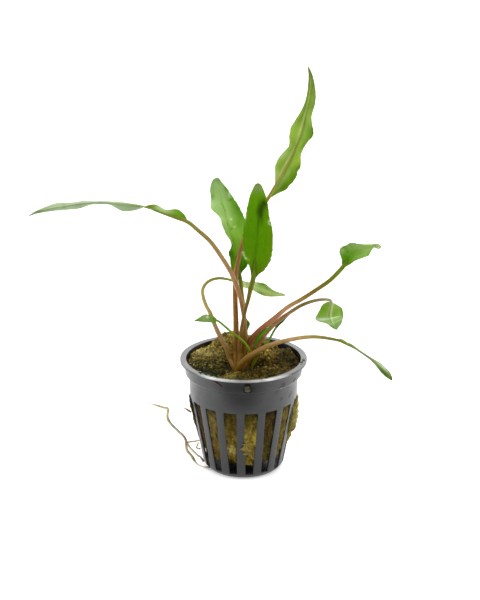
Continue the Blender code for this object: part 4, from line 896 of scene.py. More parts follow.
def wool_finish(settings):
    """Wet matted rock wool: its painted colours, broken up by fine fibres that lie every way, with painted
    shade in its hollows and pits.
    """
    made, tree, shader = new_finish("matted_rock_wool", Specular_IOR_Level=0.04,
                                    Subsurface_Weight=0.1, Subsurface_Scale=0.001,
                                    Subsurface_Radius=(1.0, 0.8, 0.25))
    if tree is None:
        return made
    coords = put(tree, "ShaderNodeTexCoord").outputs["Object"]
    shade = attribute(tree, "tint")
    strands = None
    for turn, scale in (((0.3, 0.2, 0.4), (3400.0, 420.0, 600.0)),
                        ((1.2, 0.6, 2.1), (520.0, 3800.0, 520.0)),
                        ((2.2, 1.7, 0.9), (600.0, 460.0, 3600.0))):
        lines = noisy(tree, stretched(tree, coords, scale, turn), 1.0, 3.0, 0.6, 0.6)
        strands = lines if strands is None else math_of(tree, "MAXIMUM", strands, lines)
    clots = noisy(tree, coords, 900.0, 5.0, 0.65)
    light = ranged(tree, strands, 0.56, 0.76)
    # Painted shade: darker where the clots are low, which are the hollows of the bump.
    dark = ranged(tree, clots, 0.5, 0.34)
    shade = mixed(tree, math_of(tree, "MULTIPLY", dark, 0.85), shade, (0.34, 0.31, 0.2), "MULTIPLY")
    # Painted shade in small pits.
    pit_shade = ranged(tree, noisy(tree, coords, 430.0, 3.0), 0.46, 0.34)
    shade = mixed(tree, math_of(tree, "MULTIPLY", pit_shade, 0.7), shade, (0.4, 0.38, 0.26), "MULTIPLY")
    bright = mixed(tree, 1.0, shade, (1.8, 1.78, 1.7), "MULTIPLY")
    shade = mixed(tree, math_of(tree, "MULTIPLY", light, 0.75), shade, bright)
    height = math_of(tree, "ADD", strands, math_of(tree, "MULTIPLY", clots, 1.2))
    normal = bumped(tree, height, 0.6, 0.0004)
    gloss = ranged(tree, clots, 0.3, 0.7, 0.4, 0.75)
    feed(tree, shader, Base_Color=shade, Roughness=gloss, Normal=normal)
    return made


def leaf_finish(settings):
    """Leaf blade: its painted colours, long veins, fine cross veins and a soft uneven gloss."""
    made, tree, shader = new_finish("veined_leaf", Subsurface_Weight=0.1, Subsurface_Scale=0.0006,
                                    Subsurface_Radius=(0.6, 1.0, 0.2), Specular_IOR_Level=0.05)
    if tree is None:
        return made
    coords = put(tree, "ShaderNodeTexCoord").outputs["Object"]
    shade = attribute(tree, "tint")
    place = put(tree, "ShaderNodeSeparateXYZ", {0: attribute(tree, "place", "Vector")})
    across, along, share = place.outputs
    wobble = math_of(tree, "MULTIPLY", noisy(tree, coords, 260.0, 2.0), 0.5)
    ribs = math_of(tree, "ADD", math_of(tree, "MULTIPLY", share, 4.0), wobble)
    wave = math_of(tree, "PINGPONG", ribs, 0.5)
    veins = ranged(tree, wave, 0.1, 0.0)
    fine_ribs = math_of(tree, "ADD", math_of(tree, "MULTIPLY", share, 13.0), wobble)
    fine = ranged(tree, math_of(tree, "PINGPONG", fine_ribs, 0.5), 0.3, 0.0)
    pair = put(tree, "ShaderNodeCombineXYZ", {0: math_of(tree, "MULTIPLY", across, 700.0),
                                               1: math_of(tree, "MULTIPLY", along, 2600.0)})
    cross = ranged(tree, noisy(tree, pair.outputs[0], 1.0, 2.0), 0.45, 0.7)
    streaks = put(tree, "ShaderNodeCombineXYZ", {0: math_of(tree, "MULTIPLY", share, 16.0),
                                                  1: math_of(tree, "MULTIPLY", along, 90.0)})
    streaky = noisy(tree, streaks.outputs[0], 1.0, 4.0, 0.65)
    cloudy = noisy(tree, coords, 190.0, 4.0)
    cells = put(tree, "ShaderNodeTexVoronoi", {"Vector": coords, "Scale": 3400.0}).outputs[0]
    darker = mixed(tree, 1.0, shade, (0.66, 0.74, 0.5), "MULTIPLY")
    lighter = mixed(tree, 1.0, shade, (1.3, 1.22, 1.5), "MULTIPLY")
    shade = mixed(tree, math_of(tree, "MULTIPLY", ranged(tree, streaky, 0.5, 0.7), 0.65), shade,
                  darker)
    shade = mixed(tree, math_of(tree, "MULTIPLY", ranged(tree, cloudy, 0.5, 0.7), 0.4), shade,
                  lighter)
    shade = mixed(tree, math_of(tree, "MULTIPLY", veins, settings.vein_strength), shade, lighter)
    shade = mixed(tree, math_of(tree, "MULTIPLY", fine, 0.2), shade, lighter)
    shade = mixed(tree, math_of(tree, "MULTIPLY", cross, 0.1), shade, darker)
    shade = mixed(tree, math_of(tree, "MULTIPLY", cells, 0.22), shade, darker)
    height = math_of(tree, "ADD", math_of(tree, "MULTIPLY", veins, 0.7),
                     math_of(tree, "MULTIPLY", fine, 0.2))
    height = math_of(tree, "ADD", height, math_of(tree, "MULTIPLY", cross, 0.2))
    height = math_of(tree, "ADD", height, math_of(tree, "MULTIPLY", cloudy, 1.6))
    normal = bumped(tree, height, 0.35, 0.00025)
    gloss = ranged(tree, cloudy, 0.3, 0.7, 0.34, 0.52)
    feed(tree, shader, Base_Color=shade, Roughness=gloss, Normal=normal)
    return made


def strand_finish(name, streak, spots, roughness, bump, **fixed):
    """Stalk or root: its painted colours, with streaks that run along it and small spots."""
    made, tree, shader = new_finish(name, **fixed)
    if tree is None:
        return made
    grain = attribute(tree, "grain", "Vector")
    coords = put(tree, "ShaderNodeTexCoord").outputs["Object"]
    shade = attribute(tree, "tint")
    streaks = noisy(tree, stretched(tree, grain, (2.6, 2.6, 130.0)), 1.0, 4.0, 0.65)
    fine = noisy(tree, stretched(tree, grain, (7.0, 7.0, 420.0)), 1.0, 2.0)
    mottled = noisy(tree, coords, 620.0, 4.0)
    darker = mixed(tree, 1.0, shade, (0.55, 0.45, 0.3), "MULTIPLY")
    lighter = mixed(tree, 1.0, shade, (1.75, 1.7, 1.5), "MULTIPLY")
    shade = mixed(tree, math_of(tree, "MULTIPLY", ranged(tree, streaks, 0.52, 0.7), streak),
                  shade, darker)
    shade = mixed(tree, math_of(tree, "MULTIPLY", ranged(tree, fine, 0.5, 0.75), streak), shade,
                  lighter)
    shade = mixed(tree, math_of(tree, "MULTIPLY", ranged(tree, mottled, 0.56, 0.7), spots), shade,
                  darker)
    height = math_of(tree, "ADD", streaks, math_of(tree, "MULTIPLY", mottled, 0.5))
    normal = bumped(tree, height, bump, 0.00025)
    gloss = ranged(tree, mottled, 0.3, 0.7, roughness - 0.08, roughness + 0.1)
    feed(tree, shader, Base_Color=shade, Roughness=gloss, Normal=normal)
    return made


def stalk_finish():
    return strand_finish("streaked_stalk", 0.75, 0.25, 0.3, 0.4, Specular_IOR_Level=0.14)


def root_finish():
    return strand_finish("pale_root_skin", 0.3, 0.5, 0.5, 0.5, Subsurface_Weight=0.1,
                         Subsurface_Scale=0.0005)


def crown_finish():
    """Papery sheaths round the crown, with lines up their length."""
    made, tree, shader = new_finish("sheathed_crown", Specular_IOR_Level=0.06)
    if tree is None:
        return made
    coords = put(tree, "ShaderNodeTexCoord").outputs["Object"]
    shade = attribute(tree, "tint")
    lines = noisy(tree, stretched(tree, coords, (1500.0, 1500.0, 150.0)), 1.0, 4.0, 0.65)
    blotches = noisy(tree, coords, 480.0, 4.0)
    darker = mixed(tree, 1.0, shade, (0.42, 0.34, 0.24), "MULTIPLY")
    lighter = mixed(tree, 1.0, shade, (1.6, 1.5, 1.2), "MULTIPLY")
    shade = mixed(tree, math_of(tree, "MULTIPLY", ranged(tree, lines, 0.52, 0.68), 0.75), shade,
                  darker)
    shade = mixed(tree, math_of(tree, "MULTIPLY", ranged(tree, lines, 0.46, 0.3), 0.55), shade,
                  lighter)
    shade = mixed(tree, math_of(tree, "MULTIPLY", ranged(tree, blotches, 0.55, 0.7), 0.5), shade,
                  darker)
    normal = bumped(tree, lines, 0.5, 0.0003)
    gloss = ranged(tree, blotches, 0.3, 0.7, 0.34, 0.6)
    feed(tree, shader, Base_Color=shade, Roughness=gloss, Normal=normal)
    return made


def crumb_finish(name, roughness):
    """Fibres, grit and flecks, each with its own painted colour and a fine grain."""
    made, tree, shader = new_finish(name, Specular_IOR_Level=0.05)
    if tree is None:
        return made
    coords = put(tree, "ShaderNodeTexCoord").outputs["Object"]
    grain = noisy(tree, coords, 2600.0, 3.0)
    shade = attribute(tree, "tint")
    dark = mixed(tree, 1.0, shade, (0.55, 0.52, 0.45), "MULTIPLY")
    shade = mixed(tree, ranged(tree, grain, 0.4, 0.65), dark, shade)
    normal = bumped(tree, grain, 0.4, 0.0001)
    gloss = ranged(tree, grain, 0.3, 0.7, roughness - 0.1, roughness + 0.1)
    feed(tree, shader, Base_Color=shade, Roughness=gloss, Normal=normal)
    return made


def floor_finish(settings):
    made, tree, shader = new_finish("pale_paper_floor", Specular_IOR_Level=0.1,
                                    Emission_Color=(1.0, 1.0, 1.0, 1.0), Emission_Strength=0.3)
    if tree is None:
        return made
    coords = put(tree, "ShaderNodeTexCoord").outputs["Object"]
    tone = tuple(settings.floor_colour)
    grain = noisy(tree, coords, 60.0, 3.0)
    shade = mixed(tree, grain, [c * 0.985 for c in tone], tone)
    feed(tree, shader, Base_Color=shade, Roughness=ranged(tree, grain, 0.3, 0.7, 0.85, 0.95))
    return made


# Geometry Nodes trees

def new_geometry_tree(name, inputs):
    """A tree with a geometry input and output, and named inputs: name, kind, default."""
    tree = bpy.data.node_groups.new(name, "GeometryNodeTree")
    tree.interface.new_socket("Geometry", in_out="INPUT", socket_type="NodeSocketGeometry")
    for label, kind, default in inputs:
        socket = tree.interface.new_socket(label, in_out="INPUT", socket_type=kind)
        if default is not None:
            socket.default_value = default
    tree.interface.new_socket("Geometry", in_out="OUTPUT", socket_type="NodeSocketGeometry")
    inlet = tree.nodes.new("NodeGroupInput").outputs
    outlet = tree.nodes.new("NodeGroupOutput").inputs
    return tree, inlet, outlet


def finish_geometry_tree(tree, inlet, outlet, made):
    """End a tree in realized, smooth geometry with its material."""
    real = put(tree, "GeometryNodeRealizeInstances", {"Geometry": made})
    shown = put(tree, "GeometryNodeSetMaterial",
                {"Geometry": real.outputs[0], "Material": inlet["Material"]})
    tree.links.new(shown.outputs[0], outlet["Geometry"])
    arrange(tree)
    return tree


def run_tree(obj, tree, **values):
    """Run a tree on an object with its inputs set by their identifiers."""
    modifier = obj.modifiers.new(tree.name, "NODES")
    modifier.node_group = tree
    for item in tree.interface.items_tree:
        key = item.name.replace(" ", "_").lower()
        if item.in_out == "INPUT" and key in values:
            modifier[item.identifier] = values[key]
    return modifier


def ring_tree():
    """Repeats one sector of the pot's wall around its axis."""
    name = "ring of sectors"
    if name in bpy.data.node_groups:
        return bpy.data.node_groups[name]
    tree, inlet, outlet = new_geometry_tree(name, (
        ("Count", "NodeSocketInt", 16), ("Join Distance", "NodeSocketFloat", 0.00001),
        ("Material", "NodeSocketMaterial", None)))
    points = put(tree, "GeometryNodePoints", {"Count": inlet["Count"]})
    step = math_of(tree, "DIVIDE", math.tau, inlet["Count"])
    index = put(tree, "GeometryNodeInputIndex").outputs[0]
    turn = put(tree, "ShaderNodeCombineXYZ", {"Z": math_of(tree, "MULTIPLY", index, step)})
    ring = put(tree, "GeometryNodeInstanceOnPoints",
               {"Points": points.outputs[0], "Instance": inlet["Geometry"],
                "Rotation": turn.outputs[0]})
    real = put(tree, "GeometryNodeRealizeInstances", {"Geometry": ring.outputs[0]})
    whole = put(tree, "GeometryNodeMergeByDistance",
                {"Geometry": real.outputs[0], "Distance": inlet["Join Distance"]})
    return finish_geometry_tree(tree, inlet, outlet, whole.outputs[0])


def strand_tree():
    """Turns a line of points with a thickness into a round strand, with a grain along it."""
    name = "round strand"
    if name in bpy.data.node_groups:
        return bpy.data.node_groups[name]
    tree, inlet, outlet = new_geometry_tree(name, (
        ("Sides", "NodeSocketInt", 14), ("Material", "NodeSocketMaterial", None)))
    line = put(tree, "GeometryNodeMeshToCurve", {"Mesh": inlet["Geometry"]})
    thickness = put(tree, "GeometryNodeInputNamedAttribute", {"Name": "thickness"},
                    data_type="FLOAT").outputs["Attribute"]
    along = put(tree, "GeometryNodeSplineParameter").outputs["Length"]
    held_line = put(tree, "GeometryNodeCaptureAttribute", {"Geometry": line.outputs[0]})
    held_line.capture_items.new("FLOAT", "along")
    tree.links.new(along, held_line.inputs["along"])
    circle = put(tree, "GeometryNodeCurvePrimitiveCircle",
                 {"Resolution": inlet["Sides"], "Radius": 1.0}, mode="RADIUS")
    held_ring = put(tree, "GeometryNodeCaptureAttribute", {"Geometry": circle.outputs[0]})
    held_ring.capture_items.new("VECTOR", "around")
    tree.links.new(put(tree, "GeometryNodeInputPosition").outputs[0], held_ring.inputs["around"])
    tube = put(tree, "GeometryNodeCurveToMesh",
               {"Curve": held_line.outputs[0], "Profile Curve": held_ring.outputs[0],
                "Scale": thickness, "Fill Caps": True})
    ring = put(tree, "ShaderNodeSeparateXYZ", {0: held_ring.outputs["around"]}).outputs
    grain = put(tree, "ShaderNodeCombineXYZ",
                {0: ring[0], 1: ring[1], 2: held_line.outputs["along"]})
    stored = put(tree, "GeometryNodeStoreNamedAttribute",
                 {"Geometry": tube.outputs[0], "Name": "grain"}, data_type="FLOAT_VECTOR",
                 domain="POINT")
    tree.links.new(grain.outputs[0], stored.inputs["Value"])
    round_side = put(tree, "GeometryNodeSetShadeSmooth", {"Geometry": stored.outputs[0]})
    return finish_geometry_tree(tree, inlet, outlet, round_side.outputs[0])


def scatter_tree():
    """Scatters a small shape over a surface, thickest where the surface says so."""
    name = "scatter on surface"
    if name in bpy.data.node_groups:
        return bpy.data.node_groups[name]
    tree, inlet, outlet = new_geometry_tree(name, (
        ("Shape", "NodeSocketObject", None), ("Density", "NodeSocketFloat", 100000.0),
        ("Smallest", "NodeSocketFloat", 0.5), ("Largest", "NodeSocketFloat", 1.5),
        ("Lean", "NodeSocketFloat", 1.2), ("Seed", "NodeSocketInt", 1),
        ("Material", "NodeSocketMaterial", None)))
    amount = put(tree, "GeometryNodeInputNamedAttribute", {"Name": "amount"},
                 data_type="FLOAT").outputs["Attribute"]
    density = math_of(tree, "MULTIPLY", inlet["Density"], amount)
    points = put(tree, "GeometryNodeDistributePointsOnFaces",
                 {"Mesh": inlet["Geometry"], "Density": density, "Seed": inlet["Seed"]})
    lean_back = math_of(tree, "MULTIPLY", inlet["Lean"], -1.0)
    low = put(tree, "ShaderNodeCombineXYZ", {0: lean_back, 1: lean_back, 2: -math.pi})
    high = put(tree, "ShaderNodeCombineXYZ", {0: inlet["Lean"], 1: inlet["Lean"], 2: math.pi})
    turn = put(tree, "FunctionNodeRandomValue",
               {"Min": low.outputs[0], "Max": high.outputs[0], "Seed": inlet["Seed"]},
               data_type="FLOAT_VECTOR")
    placed = put(tree, "FunctionNodeRotateRotation",
                 {"Rotation": points.outputs["Rotation"], "Rotate By": turn.outputs[0]},
                 rotation_space="LOCAL")
    size = put(tree, "FunctionNodeRandomValue", {"Seed": 7}, data_type="FLOAT")
    tree.links.new(inlet["Smallest"], size.inputs[2])
    tree.links.new(inlet["Largest"], size.inputs[3])
    shape = put(tree, "GeometryNodeObjectInfo", {"Object": inlet["Shape"]})
    strewn = put(tree, "GeometryNodeInstanceOnPoints",
                 {"Points": points.outputs["Points"], "Instance": shape.outputs["Geometry"],
                  "Rotation": placed.outputs[0], "Scale": size.outputs[1]})
    under = put(tree, "GeometryNodeInputNamedAttribute", {"Name": "tint"},
                data_type="FLOAT_COLOR").outputs["Attribute"]
    tinted = put(tree, "GeometryNodeStoreNamedAttribute",
                 {"Geometry": strewn.outputs[0], "Name": "ground"}, data_type="FLOAT_COLOR",
                 domain="INSTANCE")
    tree.links.new(under, tinted.inputs["Value"])
    return finish_geometry_tree(tree, inlet, outlet, tinted.outputs[0])


def strands(name, lines, material, sides=14):
    """A plain mesh of round strands, each given as points, radii and colours along it."""
    points = []
    edges = []
    sizes = []
    tints = []
    for route, radii, colours in lines:
        first = len(points)
        for index, place in enumerate(route):
            points.append(place)
            sizes.append(radii[index] * MM)
            tints.append(colours[index])
            if index:
                edges.append((first + index - 1, first + index))
    mesh = mesh_of(name, points, [], edges)
    add_values(mesh, "thickness", "FLOAT", "value", sizes)
    add_tints(mesh, tints)
    made = plain_object(name, mesh)
    run_tree(made, strand_tree(), sides=sides, material=material)
    return frozen(made)


def strewn(name, surface, shape, material, density, sizes, lean, seed):
    """A plain mesh of one small shape scattered over a surface, tinted by what is under it."""
    made = plain_object(name, surface.copy())
    run_tree(made, scatter_tree(), shape=shape, density=density, smallest=sizes[0],
             largest=sizes[1], lean=lean, seed=seed, material=material)
    frozen(made)
    count = len(made.data.vertices)
    own = [0.0] * (4 * count)
    under = [0.0] * (4 * count)
    made.data.attributes["tint"].data.foreach_get("color", own)
    made.data.attributes["ground"].data.foreach_get("color", under)
    made.data.attributes["tint"].data.foreach_set("color", [a * b for a, b in zip(own, under)])
    made.data.attributes.remove(made.data.attributes["ground"])
    return made


def joined(name, pieces):
    """One object from several, which are used up."""
    bm = bmesh.new()
    materials = []
    for piece in pieces:
        bm.from_mesh(piece.data)
        materials.extend(m for m in piece.data.materials if m not in materials)
    mesh = bpy.data.meshes.new(name)
    bm.to_mesh(mesh)
    bm.free()
    for material in materials:
        mesh.materials.append(material)
    for piece in pieces:
        bpy.data.objects.remove(piece)
    return plain_object(name, mesh)


# Net pot

def cone_radius(height):
    slope = (BAND_RADIUS - CONE_LOW_RADIUS) / (CONE_TOP - CONE_LOW)
    return CONE_LOW_RADIUS + slope * (height - CONE_LOW)


def slot_half(height):
    """Half of a slot's width at a height of the wall."""
    share = (height - SLOT_BOTTOM) / (SLOT_TOP - SLOT_ROUND - SLOT_BOTTOM)
    half = SLOT_HALF_BOTTOM + (SLOT_HALF_TOP - SLOT_HALF_BOTTOM) * min(max(share, 0.0), 1.0)
    over = (height - (SLOT_TOP - SLOT_ROUND)) / SLOT_ROUND
    if over > 0:
        half -= SLOT_ROUND * (1 - math.sqrt(max(0.0, 1 - min(over, 1.0) ** 2)))
    return half


def wall_rows():
    """Radius and height of the wall's outside, from the middle of the floor to the lip's end."""
    lean = math.atan((BAND_RADIUS - CONE_LOW_RADIUS) / (CONE_TOP - CONE_LOW))
    rows = [(3.0, 0.0), (9.0, 0.0), (BASE_RADIUS, 0.0)]
    corner = []
    for i in range(1, 5):
        t = math.radians(90.0) - (math.radians(90.0) - lean) * i / 5
        corner.append((BASE_RADIUS + BASE_CORNER * math.cos(t), BASE_CORNER * (1 - math.sin(t))))
    rows += [row for row in corner if row[1] < SLOT_BOTTOM - 0.2]
    heights = [SLOT_BOTTOM]
    heights += [SLOT_BOTTOM + 2.2 + i * 2.05 for i in range(14)]
    heights += [SLOT_TOP - SLOT_ROUND, SLOT_TOP - SLOT_ROUND * 0.35, SLOT_TOP]
    rows += [(min(cone_radius(h), BAND_RADIUS + (h - CONE_TOP) * 0.03), h) for h in heights]
    rows += [(BAND_RADIUS + 0.06, 35.0), (BAND_TOP_RADIUS - 0.1, 39.0)]
    rows += [(BAND_TOP_RADIUS, COLLAR_BOTTOM - 0.25), (COLLAR_RADIUS - 0.75, COLLAR_BOTTOM - 0.1)]
    rows += [(COLLAR_RADIUS, COLLAR_BOTTOM + 0.7), (COLLAR_RADIUS + COLLAR_BULGE, 46.4)]
    low = POT_HEIGHT - LIP_THICKNESS
    rows += [(COLLAR_TOP_RADIUS, low), (COLLAR_TOP_RADIUS + 1.0, low), (LIP_RADIUS - 0.1, low)]
    return rows


def pot_sector():
    """One sector of the wall's outside, centred on a slot, with the slot left open."""
    sector = math.tau / SLOT_COUNT
    rows = wall_rows()
    steps = (-1.0, -0.66, -0.33, 0.0, 0.33, 0.66, 1.0)
    points = []
    for radius, height in rows:
        edge = math.asin(slot_half(min(max(height, SLOT_BOTTOM), SLOT_TOP)) / max(radius, 14.0))
        turns = [-sector / 2, -(sector / 2 + edge) / 2]
        turns += [edge * step for step in steps]
        turns += [(sector / 2 + edge) / 2, sector / 2]
        turned = math.radians(SLOT_TURN - 90.0)
        for turn in turns:
            angle = turn + turned
            points.append(Vector((radius * math.cos(angle), radius * math.sin(angle), height)))
    columns = 11
    faces = []
    for row in range(len(rows) - 1):
        middle = (rows[row][1] + rows[row + 1][1]) / 2
        for column in range(columns - 1):
            if SLOT_BOTTOM < middle < SLOT_TOP and 2 <= column < 8:
                continue
            a = row * columns + column
            faces.append((a, a + 1, a + columns + 1, a + columns))
    points.append(Vector((0.0, 0.0, 0.0)))
    for column in range(columns - 1):
        faces.append((len(points) - 1, column + 1, column))
    return points, faces


def one_finish(mesh, finish):
    """Leave a mesh with a single material on all its faces."""
    mesh.materials.clear()
    mesh.materials.append(finish)
    mesh.polygons.foreach_set("material_index", [0] * len(mesh.polygons))
    mesh.update()


def build_pot(settings):
    points, faces = pot_sector()
    finish = plastic_finish(settings)
    pot = plain_object("slotted_net_pot", mesh_of("slotted_net_pot", points, faces))
    run_tree(pot, ring_tree(), count=SLOT_COUNT, join_distance=0.00001, material=finish)
    wall = pot.modifiers.new("wall", "SOLIDIFY")
    wall.thickness = settings.wall
    wall.offset = -1.0
    wall.use_even_offset = True
    frozen(pot)
    bm = bmesh.new()
    bmesh.ops.create_cone(bm, cap_ends=True, segments=40, radius1=DIMPLE_RADIUS * MM,
                          radius2=DIMPLE_RADIUS * MM, depth=PUNCH_DEPTH * MM)
    middle = COLLAR_RADIUS + COLLAR_BULGE - DIMPLE_DEPTH + PUNCH_DEPTH / 2
    turn = math.radians(DIMPLE_TURN - 90.0)
    for vert in bm.verts:
        x, y, z = vert.co / MM
        out = z + middle
        vert.co = Vector((out * math.cos(turn) - x * math.sin(turn),
                          out * math.sin(turn) + x * math.cos(turn), y + DIMPLE_HEIGHT)) * MM
    bmesh.ops.recalc_face_normals(bm, faces=bm.faces)
    mesh = bpy.data.meshes.new("dimple_punch")
    bm.to_mesh(mesh)
    bm.free()
    punch = plain_object("dimple_punch", mesh)
    cut = pot.modifiers.new("dimple", "BOOLEAN")
    cut.operation = "DIFFERENCE"
    cut.solver = "EXACT"
    cut.object = punch
    edges = pot.modifiers.new("soft edges", "BEVEL")
    edges.width = settings.edge
    edges.segments = 2
    edges.limit_method = "ANGLE"
    edges.angle_limit = math.radians(38.0)
    edges.harden_normals = False
    frozen(pot)
    one_finish(pot.data, finish)
    bpy.data.objects.remove(punch)
    pot.data.shade_smooth()
    pot.data.set_sharp_from_angle(angle=math.radians(30.0))
    hand_over(pot, ("pot",))


def wall_point(turn, height, stand=0.0):
    """Place on the outside of the wall, at a turn in degrees from the front to the right."""
    rows = [row for row in wall_rows() if row[1] > 0.0]
    radius = rows[-1][0]
    for (inner, low), (outer, high) in zip(rows, rows[1:]):
        if low <= height <= high and high > low:
            radius = inner + (outer - inner) * (height - low) / (high - low)
            break
    angle = math.radians(turn)
    radius += stand
    return Vector((radius * math.sin(angle), -radius * math.cos(angle), height))


def build_flecks(settings):
    """Bits of algae and wool stuck to the lip, and a dark fibre on the collar."""
    random.seed(5)
    finish = crumb_finish("stuck_bits", 0.5)
    pieces = []
    for number, (x, y, size, green) in enumerate(LIP_FLECKS):
        for bit in range(7):
            tone = linear((46, 84, 44)) if random.random() < green else linear((196, 200, 176))
            if bit == 0:
                tone = linear((30, 58, 30))
            piece = crumb_shape("bit", 0.16 * random.uniform(0.6, 1.5), tone, number + bit * 0.7)
            away = Vector((random.gauss(0.0, 0.4), random.gauss(0.0, 0.25), 0.0)) * size
            for vert in piece.data.vertices:
                place = vert.co / MM
                place.x *= 1.9
                place.z *= 0.7
                vert.co = (place + away + Vector((x, y, POT_HEIGHT + 0.06))) * MM
            pieces.append(piece)
    # The dimple's bits: brown grit, and pale grey bits that are painted light on the recess's lit floor.
    for number, (turn, height, size, tone) in enumerate(DIMPLE_BITS):
        piece = crumb_shape("bit", size, linear(tone), number * 2.3)
        away = wall_point(turn, height, -DIMPLE_DEPTH + 0.05)
        out = Vector((away.x, away.y, 0.0)).normalized()
        for vert in piece.data.vertices:
            vert.co += away * MM - out * (0.7 * vert.co.dot(out))
        pieces.append(piece)
    flecks = joined("algae_flecks_on_lip", pieces)
    one_finish(flecks.data, finish)
    hand_over(flecks)
    route = even_route(FIBRE_ON_COLLAR, 30)
    lifted = []
    for place in route:
        turn = math.degrees(math.atan2(place.x, -place.y))
        lifted.append(wall_point(turn, place.z, 0.16))
    tones = [linear((88, 38, 32)) * (1.0 + 0.3 * math.sin(i * 0.9)) for i in range(30)]
    sizes = [0.08 + 0.18 * math.sin(math.pi * (i + 0.5) / 30.0) ** 0.6 for i in range(30)]
    fibre = strands("dark_fibre_on_collar", [(lifted, sizes, tones)], root_finish(), 10)
    hand_over(fibre)


# Rock wool

def wool_height(x, y):
    """Height of the wool's top at a place, with its lumps and the hollow round the crown."""
    height = WOOL_TOP
    for lump_x, lump_y, radius, rise in WOOL_LUMPS:
        distance = math.hypot(x - lump_x, y - lump_y) / radius
        height += rise * math.exp(-distance * distance)
    height += 1.1 * noise.noise(Vector((x / 4.5, y / 4.5, 0.0)))
    away = math.hypot(x - HOLLOW_CENTRE[0], y - HOLLOW_CENTRE[1]) - HOLLOW_RADIUS
    blend = smooth_step(0.0, HOLLOW_BLEND, away)
    return HOLLOW_FLOOR + (height - HOLLOW_FLOOR) * blend, blend


def side_radius(height):
    for (high, outer), (low, inner) in zip(WOOL_SIDE, WOOL_SIDE[1:]):
        if height >= low:
            share = min(max((height - low) / (high - low), 0.0), 1.0)
            return inner + (outer - inner) * share
    return WOOL_SIDE[-1][1]


def along_pairs(pairs, value):
    """Value on straight lines through pairs that rise in their first number."""
    if value <= pairs[0][0]:
        return pairs[0][1]
    for (low, start), (high, end) in zip(pairs, pairs[1:]):
        if value <= high:
            return start + (end - start) * (value - low) / (high - low)
    return pairs[-1][1]


def slot_at(turn):
    """Turn of the nearest slot's middle, and what its wool is like."""
    nearest = round((turn - SLOT_TURN) / SLOT_STEP) * SLOT_STEP + SLOT_TURN
    wrapped = round((nearest + 180.0) % 360.0 - 180.0, 1)
    return nearest, WOOL_SLOTS.get(wrapped, OTHER_SLOT)


def wool_side(turn, height):
    """Radius of the wool's side, with what stands out of the slots, and how far in a slot it is."""
    nearest, (profile, gaps, _, _) = slot_at(turn)
    radius = side_radius(height)
    edge = math.degrees(slot_half(min(max(height, SLOT_BOTTOM), SLOT_TOP - SLOT_ROUND)) / radius)
    off = turn - nearest
    ragged = noise.noise(Vector((height / 2.2, nearest, off * 0.1)))
    gap = gaps[0] if off < 0 else gaps[1]
    gap += 0.9 * max(0.0, ragged)
    inside = smooth_step(edge - gap + 1.7, edge - gap - 0.1, abs(off))
    end = height + 1.9 * noise.noise(Vector((off * 0.55, nearest, 3.0)))
    end += 1.3 * noise.noise(Vector((off * 1.6, nearest, 9.0)))
    amount = along_pairs(profile, end)
    inside *= smooth_step(0.0, 0.35, amount) * smooth_step(34.4, 33.2, height)
    return radius + amount * inside, inside


def wool_tone(place, rise, inside, turn):
    """Colour of the wool at a place: ochre, with painted shade in its hollows, folds, slot edges and under
    the band, painted light on its crests, and stained patches, one of them a painted shadow.
    """
    share = smooth_step(-0.6, 0.7, rise)
    if place.z < 35.0 and inside >= 0.0:
        _, (_, _, below, above) = slot_at(turn)
        crest = linear(below).lerp(linear(above), smooth_step(10.0, 31.0, place.z))
        # Painted shade in the folds and painted light on the crests.
        tone = crest * (0.34 + 0.4 * share)
        # Painted shade at the slot's edges, where the wool falls back behind the ribs.
        tone *= 0.3 + 0.7 * inside
        # Painted shade under the band, at the slot's top.
        tone *= 0.45 + 0.55 * smooth_step(33.6, 29.5, place.z)
    else:
        # Painted shade in the top's hollows and painted light on its crests.
        tone = linear((30, 26, 3)).lerp(linear((98, 84, 26)), share)
    for x, y, z, radius, colour, strength in WOOL_PATCHES:
        gap = (place - Vector((x, y, z))).length / radius
        if gap < 2.2:
            amount = strength * math.exp(-gap * gap)
            # The patches get the same painted shade in hollows and painted light on crests.
            tone = tone.lerp(linear(colour) * (0.4 + 0.6 * share), amount)
    light = 1.0 + 0.22 * rough(place, 0.8, 2)
    if inside < 0.0:
        speck = rough(place + Vector((40.0, 7.0, 3.0)), 0.9, 2)
        light *= 0.62 + 0.95 * smooth_step(-0.35, 0.55, speck)
        pale = smooth_step(0.32, 0.6, speck) * smooth_step(0.0, 0.3, rough(place, 5.0, 2))
        tone = tone.lerp(linear((186, 172, 120)), 0.55 * pale)
        tone.z *= 1.2
    return Vector((tone.x * light, tone.y * light, tone.z * light * 0.7))


